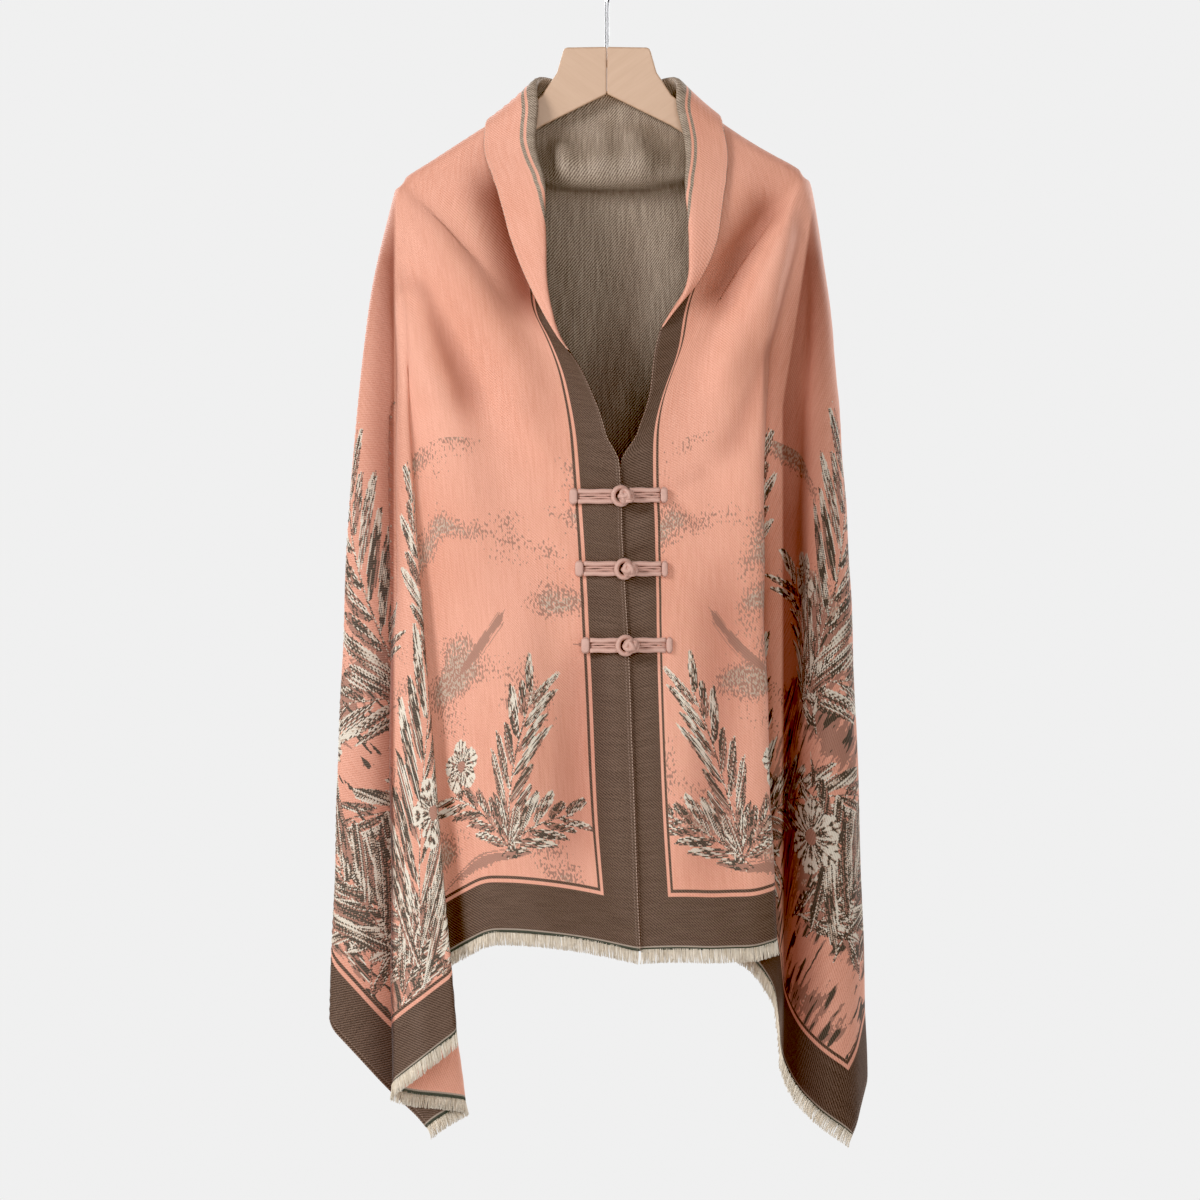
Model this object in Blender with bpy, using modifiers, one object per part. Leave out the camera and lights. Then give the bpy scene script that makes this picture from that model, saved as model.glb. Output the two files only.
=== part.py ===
"""A fringed reversible shawl worn as a cloak, buttoned with three corded frogs, on a wooden hanger.

The cloth is one woven rectangle. It hangs over the two ends of the hanger, so every fold runs down from
a shoulder point like a ray. Each half of the cloth is therefore worked out as a bent cone round its
shoulder point, from one short table with a row for each fold. Metres, +Z up, the viewer looks along +Y.
The origin is the inner top of the hanger's hook.
"""

import math
from collections import namedtuple

import bmesh
import bpy
import numpy as np

# ---- driving dimensions -------------------------------------------------------------------------
HALF_LENGTH = 0.930  # of the flat cloth, from centre back to a fringed end
WIDTH = 0.700  # of the flat cloth, from the neck edge to the outer edge
WALL = 0.0018  # the double cloth
GAP = 0.0003  # between solids that meet
SEAM = 0.0005  # from a seam to each stretch of cloth beside it
SHOULDER_ALONG = 0.200  # the shoulder point in the flat cloth, from centre back
SHOULDER_DOWN = 0.200  # and from the neck edge
SHOULDER_ROUND = 0.024  # radius over which the cloth's corner at the shoulder is evened out
SHOULDER_FADE = 0.030  # and how fast that dies away from it
SETTLE = 0.150  # length over which a fold turns from its start to its hanging direction
HANGER_ROUND = 0.018  # length over which the cloth leaves the thickness of the hanger
TIP_ROUND = 0.020  # rounding of the cone at its point
FOLD_ROUND = 0.013  # half the arc that a fold's bend takes up
CENTRE_ROUND = 0.060  # half width of the soft bend at centre back
CENTRE_BLEND = 0.120  # half width of the stretch where the two halves merge
ROLL_ROUND = 0.0035  # radius of the turned collar's bend
SEAM_ALONG = 0.160  # where the side stretches meet the back stretch
COLLAR_SEAM = 0.145  # where the collar's sides meet its back
FRINGE_LENGTH = 0.015
FRINGE_STRIP = 0.0024
FRINGE_GAP = 0.0044
STRANDS = 66  # on each end

Fold = namedtuple("Fold", "name along down swing lean across back height start")

# One row for each fold or bend. along, down: its lower end in the flat cloth, in metres. swing, lean:
# degrees in which it leaves the shoulder, toward the middle and toward the viewer. across, back, height:
# where the lower end hangs, in millimetres. start: how far behind the hanger's middle it starts.
LEFT_FOLDS = [
    Fold("behind the ridge", 0.0676, 0.0637, 118, 0, -53.5, 9.5, -135, 9),
    Fold("neck ridge", 0.0758, 0.052, 118, 0, -59, 0, -127.5, 0),
    Fold("before the ridge", 0.0887, 0.0460, 118, 0, -53.5, -9.5, -135, -9),
    Fold("collar side", 0.200, 0.052, 92, 14, -63, -35, -228, -9),
    Fold("lapel middle", 0.250, 0.036, 76, 14, -59, -44, -278.5, -9),
    Fold("lapel lower", 0.300, 0.018, 66, 13, -56, -50, -330, -9),
    Fold("lapel end", 0.350, 0.000, 56, 13, -40.4, -55, -383, -9),
    Fold("chest edge", 0.380, 0.000, 52, 14, -24.7, -58, -404, -9),
    Fold("above first frog", 0.430, 0.000, 47, 17, -3.8, -62, -452.4, -9),
    Fold("first frog", 0.4935, 0.000, 42, 19, 10, -65, -522.6, -9),
    Fold("second frog", 0.573, 0.000, 36, 16, 14.3, -70, -595.8, -9),
    Fold("third frog", 0.650, 0.000, 31, 14, 19, -74, -668, -9),
    Fold("front corner", 0.930, 0.000, 23, 16, 29.9, -85, -958.7, -9),
    Fold("hem inner", 0.930, 0.110, 18, 17, -58.9, -90, -942.6, -9),
    Fold("hem outer", 0.930, 0.190, 13, 15, -112, -82, -940.3, -9),
    Fold("hem dips back", 0.930, 0.245, 10, 12, -148, -62, -960, -9),
    Fold("pocket valley", 0.930, 0.325, 6, 10, -188, -74, -985, -9),
    Fold("front pleat, inner edge", 0.930, 0.405, 2, 11, -138.7, -97, -1033.8, -9),
    Fold("front pleat, middle", 0.930, 0.465, -1, 11, -176, -102, -1062, -9),
    Fold("front pleat, outer edge", 0.930, 0.520, -4, 8, -208, -80, -1087.5, -8),
    Fold("under the pleat", 0.930, 0.555, -6, 6, -184, -46, -1095, -8),
    Fold("inner side fold", 0.930, 0.635, -10, 4, -130.2, -28, -1101.2, -6),
    Fold("outer corner", 0.930, 0.700, -14, 2, -171.3, -14, -1125.3, -4),
    Fold("outer edge, low", 0.875, 0.700, -17, 0, -209, -6, -1091.7, -2),
    Fold("side line", 0.785, 0.700, -20, -1, -270.8, 6, -1025.2, 0),
    Fold("first back valley", 0.665, 0.700, -14, -5, -190, 24, -918.8, 3),
    Fold("first back pleat", 0.540, 0.700, -9, -9, -262, 60, -838, 6),
    Fold("second back valley", 0.430, 0.700, -5, -12, -178, 86, -782, 9),
    Fold("second back pleat", 0.300, 0.700, -2, -11, -246, 112, -742, 9),
    Fold("back panel edge", 0.200, 0.700, 0, -5, -200, 44, -736, 9),
]
RIGHT_FOLDS = [
    Fold("behind the ridge", 0.0676, 0.0637, 116, 0, 53.5, 9.5, -135, 9),
    Fold("neck ridge", 0.0758, 0.052, 116, 0, 59, 0, -127.5, 0),
    Fold("before the ridge", 0.0887, 0.0460, 116, 0, 53.5, -9.5, -135, -9),
    Fold("collar side", 0.200, 0.050, 90, 14, 77, -35, -232, -9),
    Fold("lapel middle", 0.250, 0.034, 74, 10, 78, -44, -283, -9),
    Fold("lapel lower", 0.290, 0.018, 64, 8, 76, -48, -326, -9),
    Fold("lapel end", 0.335, 0.000, 58, 12, 52.7, -52, -361, -9),
    Fold("chest edge", 0.365, 0.000, 55, 14, 44.7, -56, -388.7, -9),
    Fold("chest", 0.410, 0.000, 51, 17, 40.9, -58, -433.4, -9),
    Fold("above first frog", 0.450, 0.000, 46, 20, 27.6, -61, -468.5, -9),
    Fold("first frog", 0.500, 0.000, 42, 18, 13.5, -64, -520.8, -9),
    Fold("second frog", 0.578, 0.000, 38, 15, 16.2, -69, -596.3, -9),
    Fold("third frog", 0.653, 0.000, 35, 16, 20.9, -73, -668, -9),
    Fold("front corner", 0.930, 0.000, 31, 18, 31.9, -84, -957.8, -9),
    Fold("hem inner", 0.930, 0.080, 28, 19, 98, -88, -957.5, -9),
    Fold("hem outer", 0.930, 0.130, 26, 20, 140.8, -80, -956.5, -9),
    Fold("front pleat edge", 0.930, 0.165, 24, 20, 166.3, -66, -948.3, -9),
    Fold("deep valley", 0.930, 0.310, 11, 6, 40, 12, -924, -9),
    Fold("behind the pleat", 0.930, 0.400, 5, 5, 95, 18, -940, -9),
    Fold("side panel, inner", 0.930, 0.480, 0, 5, 143.5, -22, -970, -9),
    Fold("side panel, bend", 0.930, 0.515, -2, 6, 160, -30, -995.8, -8),
    Fold("side panel, crest", 0.930, 0.600, -6, 5, 167.2, -44, -1063, -7),
    Fold("side panel, low", 0.930, 0.635, -8, 4, 180.9, -42, -1090.5, -6),
    Fold("side panel, outer", 0.930, 0.670, -9, 3, 206, -36, -1116, -5),
    Fold("outer corner", 0.930, 0.700, -12, 2, 236, -22, -1135.5, -3),
    Fold("side line", 0.850, 0.700, -15, 0, 250.5, 4, -1071.8, 0),
    Fold("first back valley", 0.730, 0.700, -12, -5, 180, 24, -958, 3),
    Fold("first back pleat", 0.590, 0.700, -8, -9, 243, 62, -872, 6),
    Fold("second back valley", 0.460, 0.700, -5, -12, 165, 88, -798, 9),
    Fold("second back pleat", 0.320, 0.700, -2, -11, 238, 114, -748, 9),
    Fold("back panel edge", 0.200, 0.700, 0, -5, 200, 44, -736, 9),
]
CENTRE_FOLDS = [
    Fold("back hem", 0, 0.700, 22, -5, 0, 44, -744, 9),
    Fold("back panel", 0, 0.300, 63, -5, 0, 28, -345, 9),
    Fold("under the neck swag", 0, 0.190, 93, -5, 0, 18, -237, 9),
    Fold("neck swag", 0, 0.155, 93, 0, 0, -16, -228, 9),
    Fold("above the swag", 0, 0.110, 103, -2, 0, 2, -190, 9),
    Fold("back of the neck", 0, 0.052, 113, -3, 0, 12, -150, 9),
]
Shoulder = namedtuple("Shoulder", "out height")  # where each shoulder point hangs
SHOULDERS = {-1: Shoulder(0.201, -0.224), 1: Shoulder(0.192, -0.2165)}
RIDGE_SWING = 115  # a row that rises more steeply than this leaves as it says, however short it is
STRAIGHT_BELOW = 0.22  # any other ray shorter than this runs straight
BENT_ABOVE = 0.40  # and one longer than this leaves as its row says

# Width of the turned collar at some distances along the neck edge from centre back.
Roll = namedtuple("Roll", "along left right")
COLLAR_ROLL = [
    Roll(0.000, 0.055, 0.055),
    Roll(0.100, 0.053, 0.053),
    Roll(0.150, 0.051, 0.050),
    Roll(0.200, 0.046, 0.045),
    Roll(0.250, 0.034, 0.033),
    Roll(0.295, 0.020, 0.018),
    Roll(0.325, 0.011, 0.006),
    Roll(0.345, 0.005, 0.000),
    Roll(0.360, 0.000, 0.000),
    Roll(HALF_LENGTH, 0.000, 0.000),
]
COLLAR_END = {-1: 0.338, 1: 0.308}  # where the turned part runs out, by side
COLLAR_CLEAR = 0.0020  # between the turned part's end and the front below it
COLLAR_CLOSES = 0.35  # share by which the turned part nears the panel at its loose edge
PAST_ROLL = 0.010  # how far past the roll line the collar stretch reaches, round the bend

# Where each frog crosses the two front edges, how far its straps reach, and where its knot sits:
# how far to the right of the middle between the edges, and how deep it sinks in.
Frog = namedtuple("Frog", "name left_along right_along left_reach right_reach aside sink")
FROGS = [
    Frog("upper", 0.4995, 0.506, 0.0465, 0.0510, 0.0030, 0.0010),
    Frog("middle", 0.573, 0.578, 0.0455, 0.0505, 0.0030, 0.0),
    Frog("lower", 0.650, 0.653, 0.0430, 0.0550, 0.0, 0.0),
]
STRAP_HEIGHT = 0.0135
STRAP_THICK = 0.0042
WRAP_LENGTH = 0.0085
WRAP_HEIGHT = 0.0158
WRAP_THICK = 0.0056
KNOT_RADIUS = 0.0102
LAID_GAP = 0.0005  # between the cloth and what lies on it
CORDS = 3  # side by side in a strap

ARM_THICK = 0.010
ARM_EDGE = 0.002  # rounding of the wood's edges
HOOK_WIRE = 0.002  # radius
HOOK_INNER = 0.020
HOOK_SEAT = -0.118  # lower end of the wire in the wood
HOOK_BENDS = -0.056  # where the straight stem begins to bend
WOOD_TOP = -0.098

COLOURS = {
    "cloth": ((0.72, 0.36, 0.25, 1), 0.85, 0.0),
    "fringe": ((0.76, 0.68, 0.57, 1), 0.9, 0.0),
    "cord": ((0.58, 0.36, 0.30, 1), 0.6, 0.0),
    "wood": ((0.66, 0.46, 0.31, 1), 0.5, 0.0),
    "steel": ((0.75, 0.76, 0.78, 1), 0.25, 1.0),
}


# ---- the hanging cloth as a function of its flat coordinates ------------------------------------
def direction(swing, lean, side):
    """Unit vector that swings from straight down to the middle and leans toward the viewer."""
    swing, lean = np.radians(swing), np.radians(lean)
    across = -side * np.sin(swing) * np.cos(lean)
    return np.stack([across, -np.sin(lean), -np.cos(swing) * np.cos(lean)], -1)


def rounded(radius):
    """Distance along a ray with the cone's point rounded off: sqrt(r^2 + a^2) - a."""
    return np.sqrt(radius**2 + TIP_ROUND**2) - TIP_ROUND


def turning(radius):
    """How much of a ray's first direction is left in its length: it dies away over SETTLE."""
    return SETTLE * (1 - np.exp(-radius / SETTLE))


class HalfCone:
    """One half of the cloth: rays round a shoulder point, blended between the rows of its table."""

    STEP = 0.1  # degrees between the samples of the running sums

    def __init__(self, folds, side):
        self.shoulder = np.array([side * SHOULDERS[side].out, 0, SHOULDERS[side].height])
        flat = np.array([(f.along - SHOULDER_ALONG, f.down - SHOULDER_DOWN) for f in folds])
        angle = np.degrees(np.arctan2(flat[:, 1], flat[:, 0]))
        on_back = np.array([f.start > 0 for f in folds])
        angle = np.where(on_back & (angle < 0), angle + 360, angle)
        reach = np.hypot(flat[:, 0], flat[:, 1])
        start = np.array([(0, f.start / 1000, 0) for f in folds])
        hang = np.array([(f.across, f.back, f.height) for f in folds]) / 1000 - self.shoulder - start
        length = rounded(reach)[:, None]
        straight = hang / length
        given = direction(np.array([f.swing for f in folds]), np.array([f.lean for f in folds]), side)
        share = np.clip((reach - STRAIGHT_BELOW) / (BENT_ABOVE - STRAIGHT_BELOW), 0, 1)[:, None]
        share = share * share * (3 - 2 * share)
        share = np.where(np.array([f.swing > RIDGE_SWING for f in folds])[:, None], 1, share)
        leave = straight * (1 - share) + given * share
        kept = turning(length)
        settle = (hang - kept * leave) / (length - kept)
        order = np.argsort(angle)
        angle = angle[order]
        values = np.concatenate([leave, settle, start], 1)[order]
        self.first = angle[0]
        angle = np.append(angle, angle[0] + 360)
        values = np.vstack([values, values[:1]])
        self.samples = np.arange(self.first - 90, self.first + 450, self.STEP)
        wrapped = (self.samples - self.first) % 360 + self.first
        rays = np.stack([np.interp(wrapped, angle, column) for column in values.T], 1)
        steps = (rays[1:] + rays[:-1]) / 2 * self.STEP
        self.sums = np.vstack([np.zeros(rays.shape[1]), np.cumsum(steps, 0)])

    def averaged(self, angle, spread):
        """The rays averaged over angle +- spread, which bends each fold with an even radius."""
        above = np.stack([np.interp(angle + spread, self.samples, c) for c in self.sums.T], -1)
        below = np.stack([np.interp(angle - spread, self.samples, c) for c in self.sums.T], -1)
        return (above - below) / (2 * spread)[..., None]

    def point(self, along, down):
        """Where a flat point hangs. Near the shoulder it is the mean of a circle of points round it."""
        near = np.hypot(along - SHOULDER_ALONG, down - SHOULDER_DOWN)
        found = self.on_ray(along, down)
        close = near < 3 * SHOULDER_FADE
        if close.any():
            along, down, near = along[close], down[close], near[close]
            reach = SHOULDER_ROUND * np.exp(-((near / SHOULDER_FADE) ** 2))
            turns = np.linspace(0, 2 * math.pi, 12, endpoint=False)
            ring = [self.on_ray(along + reach * math.cos(t), down + reach * math.sin(t)) for t in turns]
            found[close] = sum(ring) / len(turns)
        return found

    def on_ray(self, along, down):
        """A point of the bare cone: shoulder + start + settled ray + what is left of its first turn."""
        ahead, below = along - SHOULDER_ALONG, down - SHOULDER_DOWN
        angle = np.degrees(np.arctan2(below, ahead))
        angle = np.where(angle < self.first, angle + 360, angle)
        radius = np.hypot(ahead, below)
        spread = np.minimum(np.degrees(FOLD_ROUND / np.maximum(radius, 0.012)), 60)
        rays = self.averaged(angle, spread)
        leave, settle, start = rays[..., :3], rays[..., 3:6], rays[..., 6:]
        length = rounded(radius)[..., None]
        clear = 1 - np.exp(-radius / HANGER_ROUND)[..., None]
        return self.shoulder + start * clear + length * settle + turning(length) * (leave - settle)


def centre_rows(side):
    """The centre back's rows for one half."""
    return [row._replace(across=side * row.across) for row in CENTRE_FOLDS]


HALVES = {
    -1: HalfCone(LEFT_FOLDS + centre_rows(-1), -1),
    1: HalfCone(RIGHT_FOLDS + centre_rows(1), 1),
}


def hung(along, down):
    """The cloth's middle surface without its turned collar. The two cones merge softly at centre back."""
    along, down = np.broadcast_arrays(np.asarray(along, float), np.asarray(down, float))
    away = np.abs(along)
    soft = np.where(away < CENTRE_ROUND, (away**2 / CENTRE_ROUND + CENTRE_ROUND) / 2, away)
    left, right = HALVES[-1].point(soft, down), HALVES[1].point(soft, down)
    side = np.where(along < 0, -1.0, 1.0)
    middle = (left * [-1, 1, 1] + right) / 2 * np.stack([side, np.ones_like(side), np.ones_like(side)], -1)
    share = np.clip(away / CENTRE_BLEND, 0, 1)
    share = (share * share * (3 - 2 * share))[..., None]
    merged = np.where(along[..., None] < 0, left, right) * share + middle * (1 - share)
    merged[..., 0] = merged[..., 0] * share[..., 0] + along * (1 - share[..., 0])
    return merged


def outward(along, down, step=0.002):
    """Unit normal on the face side, from differences of the surface."""
    over = hung(along + step, down) - hung(along - step, down)
    under = hung(along, down + step) - hung(along, down - step)
    normal = np.cross(over, under)
    return normal / np.maximum(np.linalg.norm(normal, axis=-1, keepdims=True), 1e-9)


def collar_width(along):
    """Flat distance from the neck edge to the line on which the collar rolls over."""
    along = np.asarray(along, float)
    stations = [row.along for row in COLLAR_ROLL]
    left = np.interp(np.abs(along), stations, [row.left for row in COLLAR_ROLL])
    right = np.interp(np.abs(along), stations, [row.right for row in COLLAR_ROLL])
    return np.where(along < 0, left, right)


def cloth(along, down, lift=0.0):
    """The cloth's middle surface. Past the roll line it lies mirrored on the panel, moved out.

    With w the distance below the roll line and a the bend's radius, the point lies sqrt(w^2 + a^2) - a
    below the line and a (1 - w / sqrt(w^2 + a^2)) out from the panel. lift moves it along its own face.
    """
    along, down = np.broadcast_arrays(np.asarray(along, float), np.asarray(down, float))
    roll = collar_width(along)
    below = down - roll
    radius = ROLL_ROUND * np.clip(roll / 0.004, 0, 1) + 1e-6
    root = np.sqrt(below**2 + radius**2)
    inward = roll + root - radius * np.exp(-np.abs(below) / 0.02)
    out = radius * (1 - below / root)
    closes = COLLAR_CLOSES * np.clip(-below / np.maximum(roll, 1e-6), 0, 1)
    out = out * (1 - closes)
    face = np.where(below < 0, -1.0, 1.0)
    return hung(along, inward) + outward(along, inward) * (out + face * lift)[..., None]


# ---- making objects ------------------------------------------------------------------------------
def clear_scene():
    for obj in list(bpy.data.objects):
        bpy.data.objects.remove(obj)


def collection(name, shown=True):
    made = bpy.data.collections.new(name)
    made.hide_render = not shown
    bpy.context.scene.collection.children.link(made)
    return made


def material(name):
    colour, roughness, metallic = COLOURS[name]
    made = bpy.data.materials.new(name)
    made.use_nodes = True
    shader = made.node_tree.nodes["Principled BSDF"]
    shader.inputs["Base Color"].default_value = colour
    shader.inputs["Roughness"].default_value = roughness
    shader.inputs["Metallic"].default_value = metallic
    return made


def add_mesh(name, points, faces, slot, smooth=True):
    """An object in the part's collection from points and faces."""
    mesh = bpy.data.meshes.new(name)
    mesh.from_pydata([tuple(map(float, p)) for p in points], [], faces)
    mesh.validate()
    if smooth:
        mesh.shade_smooth()
    obj = bpy.data.objects.new(name, mesh)
    obj.data.materials.append(material(slot))
    PART.objects.link(obj)
    return obj


def grid_faces(columns, rows, closed=False):
    """Quads of a grid whose points are stored column by column."""
    last = columns if closed else columns - 1
    return [
        (c * rows + r, c * rows + r + 1, (c + 1) % columns * rows + r + 1, (c + 1) % columns * rows + r)
        for c in range(last)
        for r in range(rows - 1)
    ]


def add_wall(name, points, faces):
    """Cloth of even thickness round its middle surface."""
    obj = add_mesh(name, points, faces, "cloth")
    wall = obj.modifiers.new("wall", "SOLIDIFY")
    wall.thickness = WALL
    wall.offset = 0
    wall.use_even_offset = False
    return obj


# ---- the three stretches of the cloth's body -------------------------------------------------------
def seam_down(along):
    """Where the collar stretch ends and the body begins, in flat distance from the neck edge."""
    return collar_width(along) + PAST_ROLL


def body(along, down):
    """The cloth below that seam; past the collar's end it isn't turned over."""
    below = down >= seam_down(along)
    return np.where(below[:, None], cloth(along, down), hung(along, down))


SHOULDER = np.array([SHOULDER_ALONG, SHOULDER_DOWN])
BEND_STATIONS = (-0.012, -0.006, 0.0, 0.006, 0.012)  # columns round a fold, along the cloth's edge
WIDEST_COLUMN = 0.070
RAY_SHARES = (0.045, 0.11, 0.20, 0.32, 0.46, 0.62, 0.80, 1.0)
RIDGE_ROWS = (-0.026, -0.014, -0.005, 0.005, 0.014, 0.026)
SWAG_ROWS = (0.0, 0.3, 0.6)
BACK_ROWS = (0.195, 0.225, 0.30, 0.40, 0.50, 0.60, WIDTH)


def back_rows(along):
    """Flat distances of the back stretch's rows: close together over the ridge and the neck swag."""
    top = float(seam_down(along)) + GAP
    ridge = LEFT_FOLDS[1]
    slope = (SHOULDER_DOWN - ridge.down) / (SHOULDER_ALONG - ridge.along)
    crest = max(ridge.down + slope * (abs(along) - ridge.along), top + 0.032)
    rows = [top] + [crest + shift for shift in RIDGE_ROWS]
    first, last = rows[-1] + 0.008, max(BACK_ROWS[0], rows[-1] + 0.016)
    rows += [first + (last - first) * share for share in SWAG_ROWS]
    return rows + [max(down, last + 0.012 * k) for k, down in enumerate(BACK_ROWS)]


def border_marks(folds):
    """Distances down the hem and then back along the outer edge at which columns stand."""
    end = WIDTH + HALF_LENGTH - SEAM_ALONG - SEAM
    bends = []
    for fold in folds:
        place = fold.down if fold.along >= HALF_LENGTH else WIDTH + HALF_LENGTH - fold.along
        if fold.down > 0 and fold.name != "outer corner" and (fold.along >= HALF_LENGTH or fold.down >= WIDTH):
            bends.append(place)
    marks = [0.0]
    for place in sorted(bends + [WIDTH, end]):
        shifts = (0,) if place in (WIDTH, end) else BEND_STATIONS
        marks += [place + shift for shift in shifts if marks[-1] + 0.003 < place + shift <= end]
    filled = []
    for near, far in zip(marks, marks[1:]):
        steps = max(1, math.ceil((far - near) / WIDEST_COLUMN))
        filled += [near + (far - near) * k / steps for k in range(steps)]
    return filled


def collar_line(side):
    """Flat points on both sides of the seam under the collar, with the ray of each."""
    return np.linspace(SEAM_ALONG + SEAM, COLLAR_END[side], 12)


def neck_end(side):
    """Where the ray past the collar's end meets the neck edge."""
    down = float(seam_down(side * COLLAR_END[side]))
    return SHOULDER_ALONG + (COLLAR_END[side] - SHOULDER_ALONG) * SHOULDER_DOWN / (SHOULDER_DOWN - down)


def edge_stations(folds, side):
    """Flat points round the border of a side stretch, close together at each fold."""
    line = np.append(collar_line(side)[:-1], COLLAR_END[side] + COLLAR_CLEAR)
    collar = [(a, float(seam_down(side * a)) + SEAM) for a in line]
    front = [(a, 0.0) for a in np.linspace(neck_end(side) + 2 * COLLAR_CLEAR, 0.66, 8)] + [(0.75, 0.0), (0.84, 0.0)]
    marks = border_marks(folds)
    outer = [(HALF_LENGTH, m) if m <= WIDTH else (HALF_LENGTH + WIDTH - m, WIDTH) for m in marks]
    seam = [(SEAM_ALONG + SEAM, down) for down in back_rows(SEAM_ALONG)[:0:-1]]
    return collar + front + outer + seam


def side_stretch(name, folds, side):
    """A fan round the shoulder point, out to the cloth's edges, the collar and the back stretch."""
    border = np.array(edge_stations(folds, side))
    flat = SHOULDER + (border - SHOULDER)[:, None, :] * np.array(RAY_SHARES)[None, :, None]
    flat = np.vstack([flat.reshape(-1, 2), SHOULDER])
    points = body(side * flat[:, 0], flat[:, 1])
    columns, rows = len(border), len(RAY_SHARES)
    faces = grid_faces(columns, rows, closed=True)
    tip = columns * rows
    faces += [(tip, c * rows, (c + 1) % columns * rows) for c in range(columns)]
    if side > 0:
        faces = [face[::-1] for face in faces]
    return add_wall(name, points, faces)


BACK_COLUMNS = 25


def back_stretch():
    """The back between the shoulders, with rows that follow the fold over each arm of the hanger."""
    alongs = np.linspace(-SEAM_ALONG + SEAM, SEAM_ALONG - SEAM, BACK_COLUMNS)
    flat = np.array([(along, down) for along in alongs for down in back_rows(along)])
    points = body(flat[:, 0], flat[:, 1])
    return add_wall("shawl_back", points, grid_faces(BACK_COLUMNS, len(flat) // BACK_COLUMNS))


FLAP_ROWS = (0.0, 0.36, 0.70, 1.0)  # shares of the flap, short of its bend
RIDGE_FLAP_ROWS = (0.0, 0.14, 0.28, 0.42, 0.56, 0.70, 0.85, 1.0)
BEND_ROWS = (-0.5, 0.0, 0.5)  # offsets from the roll line, in radii of the bend
COLLAR_BACK_ALONGS = (0.0, 0.018, 0.036, 0.052, 0.064, 0.073, 0.081, 0.089, 0.097, 0.105, 0.113, 0.121, 0.131)


def collar_stretch(name, alongs, flap_rows=FLAP_ROWS, slant=0.0):
    """The turned-over strip along the neck edge, from its loose edge round the roll.

    slant turns the last columns toward the shoulder point's rays, so that the strip ends along a ray.
    """
    flat = []
    for place, along in enumerate(alongs):
        roll, seam = float(collar_width(along)), float(seam_down(along)) - SEAM
        rows = [(roll - ROLL_ROUND) * share for share in flap_rows]
        rows += [roll + ROLL_ROUND * offset for offset in BEND_ROWS] + [seam]
        reach = (along - math.copysign(SHOULDER_ALONG, along)) * seam / (SHOULDER_DOWN - seam)
        shift = reach * slant * place / (len(alongs) - 1)
        flat += [(along + shift * (1 - down / seam), down) for down in rows]
    flat = np.array(flat)
    points = cloth(flat[:, 0], flat[:, 1])
    faces = grid_faces(len(alongs), len(flat) // len(alongs))
    if alongs[0] > alongs[-1]:
        faces = [face[::-1] for face in faces]
    return add_wall(name, points, faces)


# ---- fringe ----------------------------------------------------------------------------------------
STRAND_SHARE = 0.42  # of the pitch that a strand's root takes up
STRAND_THICK = 0.0013
FRINGE_END = 0.0012  # of the strip, past its first and last strands


def past_hem(side, down, past, lift):
    """Points past the cloth's short edge, along the rays of the edge's own points."""
    stretch = 1 + past / (HALF_LENGTH - SHOULDER_ALONG)
    along = side * (SHOULDER_ALONG + (HALF_LENGTH - SHOULDER_ALONG) * stretch)
    further = SHOULDER_DOWN + (down - SHOULDER_DOWN) * stretch
    return hung(along, further) + lift * outward(along, further)


def fringe(name, side):
    """Tapered strands hanging from a narrow strip just past the cloth's short edge, as one comb."""
    pitch = WIDTH / STRANDS
    root = FRINGE_GAP + FRINGE_STRIP
    downs = []
    for k in range(STRANDS):
        downs += [(k + (1 - STRAND_SHARE) / 2) * pitch, (k + (1 + STRAND_SHARE) / 2) * pitch]
    downs = np.array([downs[0] - FRINGE_END] + downs + [downs[-1] + FRINGE_END])
    half = STRAND_THICK / 2
    corners = ((FRINGE_GAP, half), (FRINGE_GAP, -half), (root, -half), (root, half))
    loops = [past_hem(side, downs, past, lift) for past, lift in corners]
    count = len(downs)
    tips = past_hem(side, (np.arange(STRANDS) + 0.5) * pitch, FRINGE_LENGTH, 0.0)
    points = np.concatenate(loops + [tips])
    faces = []
    for k in range(count - 1):
        for loop in range(4):
            here, there = loop * count, (loop + 1) % 4 * count
            if loop == 2 and k % 2 == 1:
                tip = 4 * count + k // 2
                ring = (here + k, here + k + 1, there + k + 1, there + k)
                faces += [(ring[j], ring[(j + 1) % 4], tip) for j in range(4)]
                continue
            faces.append((here + k, here + k + 1, there + k + 1, there + k))
    faces.append(tuple(loop * count for loop in (0, 1, 2, 3)))
    faces.append(tuple(loop * count + count - 1 for loop in (3, 2, 1, 0)))
    obj = add_mesh(name, points, faces, "fringe", smooth=False)
    point_outward(obj)
    return obj


def point_outward(obj):
    """Turns a closed mesh's faces outward."""
    work = bmesh.new()
    work.from_mesh(obj.data)
    bmesh.ops.recalc_face_normals(work, faces=work.faces)
    work.to_mesh(obj.data)
    work.free()


# ---- frogs -----------------------------------------------------------------------------------------
def lobed_section(height, thick, lobes, sides=4):
    """Outline of cords laid side by side: |sin| humps on the front, a flat underside."""
    humps = lobes * sides
    across = np.linspace(0.5, -0.5, humps + 1)
    hump = 0.68 + 0.32 * np.abs(np.sin(np.linspace(0, lobes * np.pi, humps + 1)))
    front = np.stack([across * height, thick * hump], 1)
    return np.vstack([front, [(-height / 2, 0), (height / 2, 0)]])


def level_with(side, along, downs):
    """Flat distances along the cloth at which it hangs as high as its edge does at that one."""
    alongs = np.full(len(downs), along)
    for _ in range(4):
        high = hung(side * alongs, downs)[:, 2] - hung(side * along, 0.0)[2]
        alongs = alongs + high
    return alongs


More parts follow.
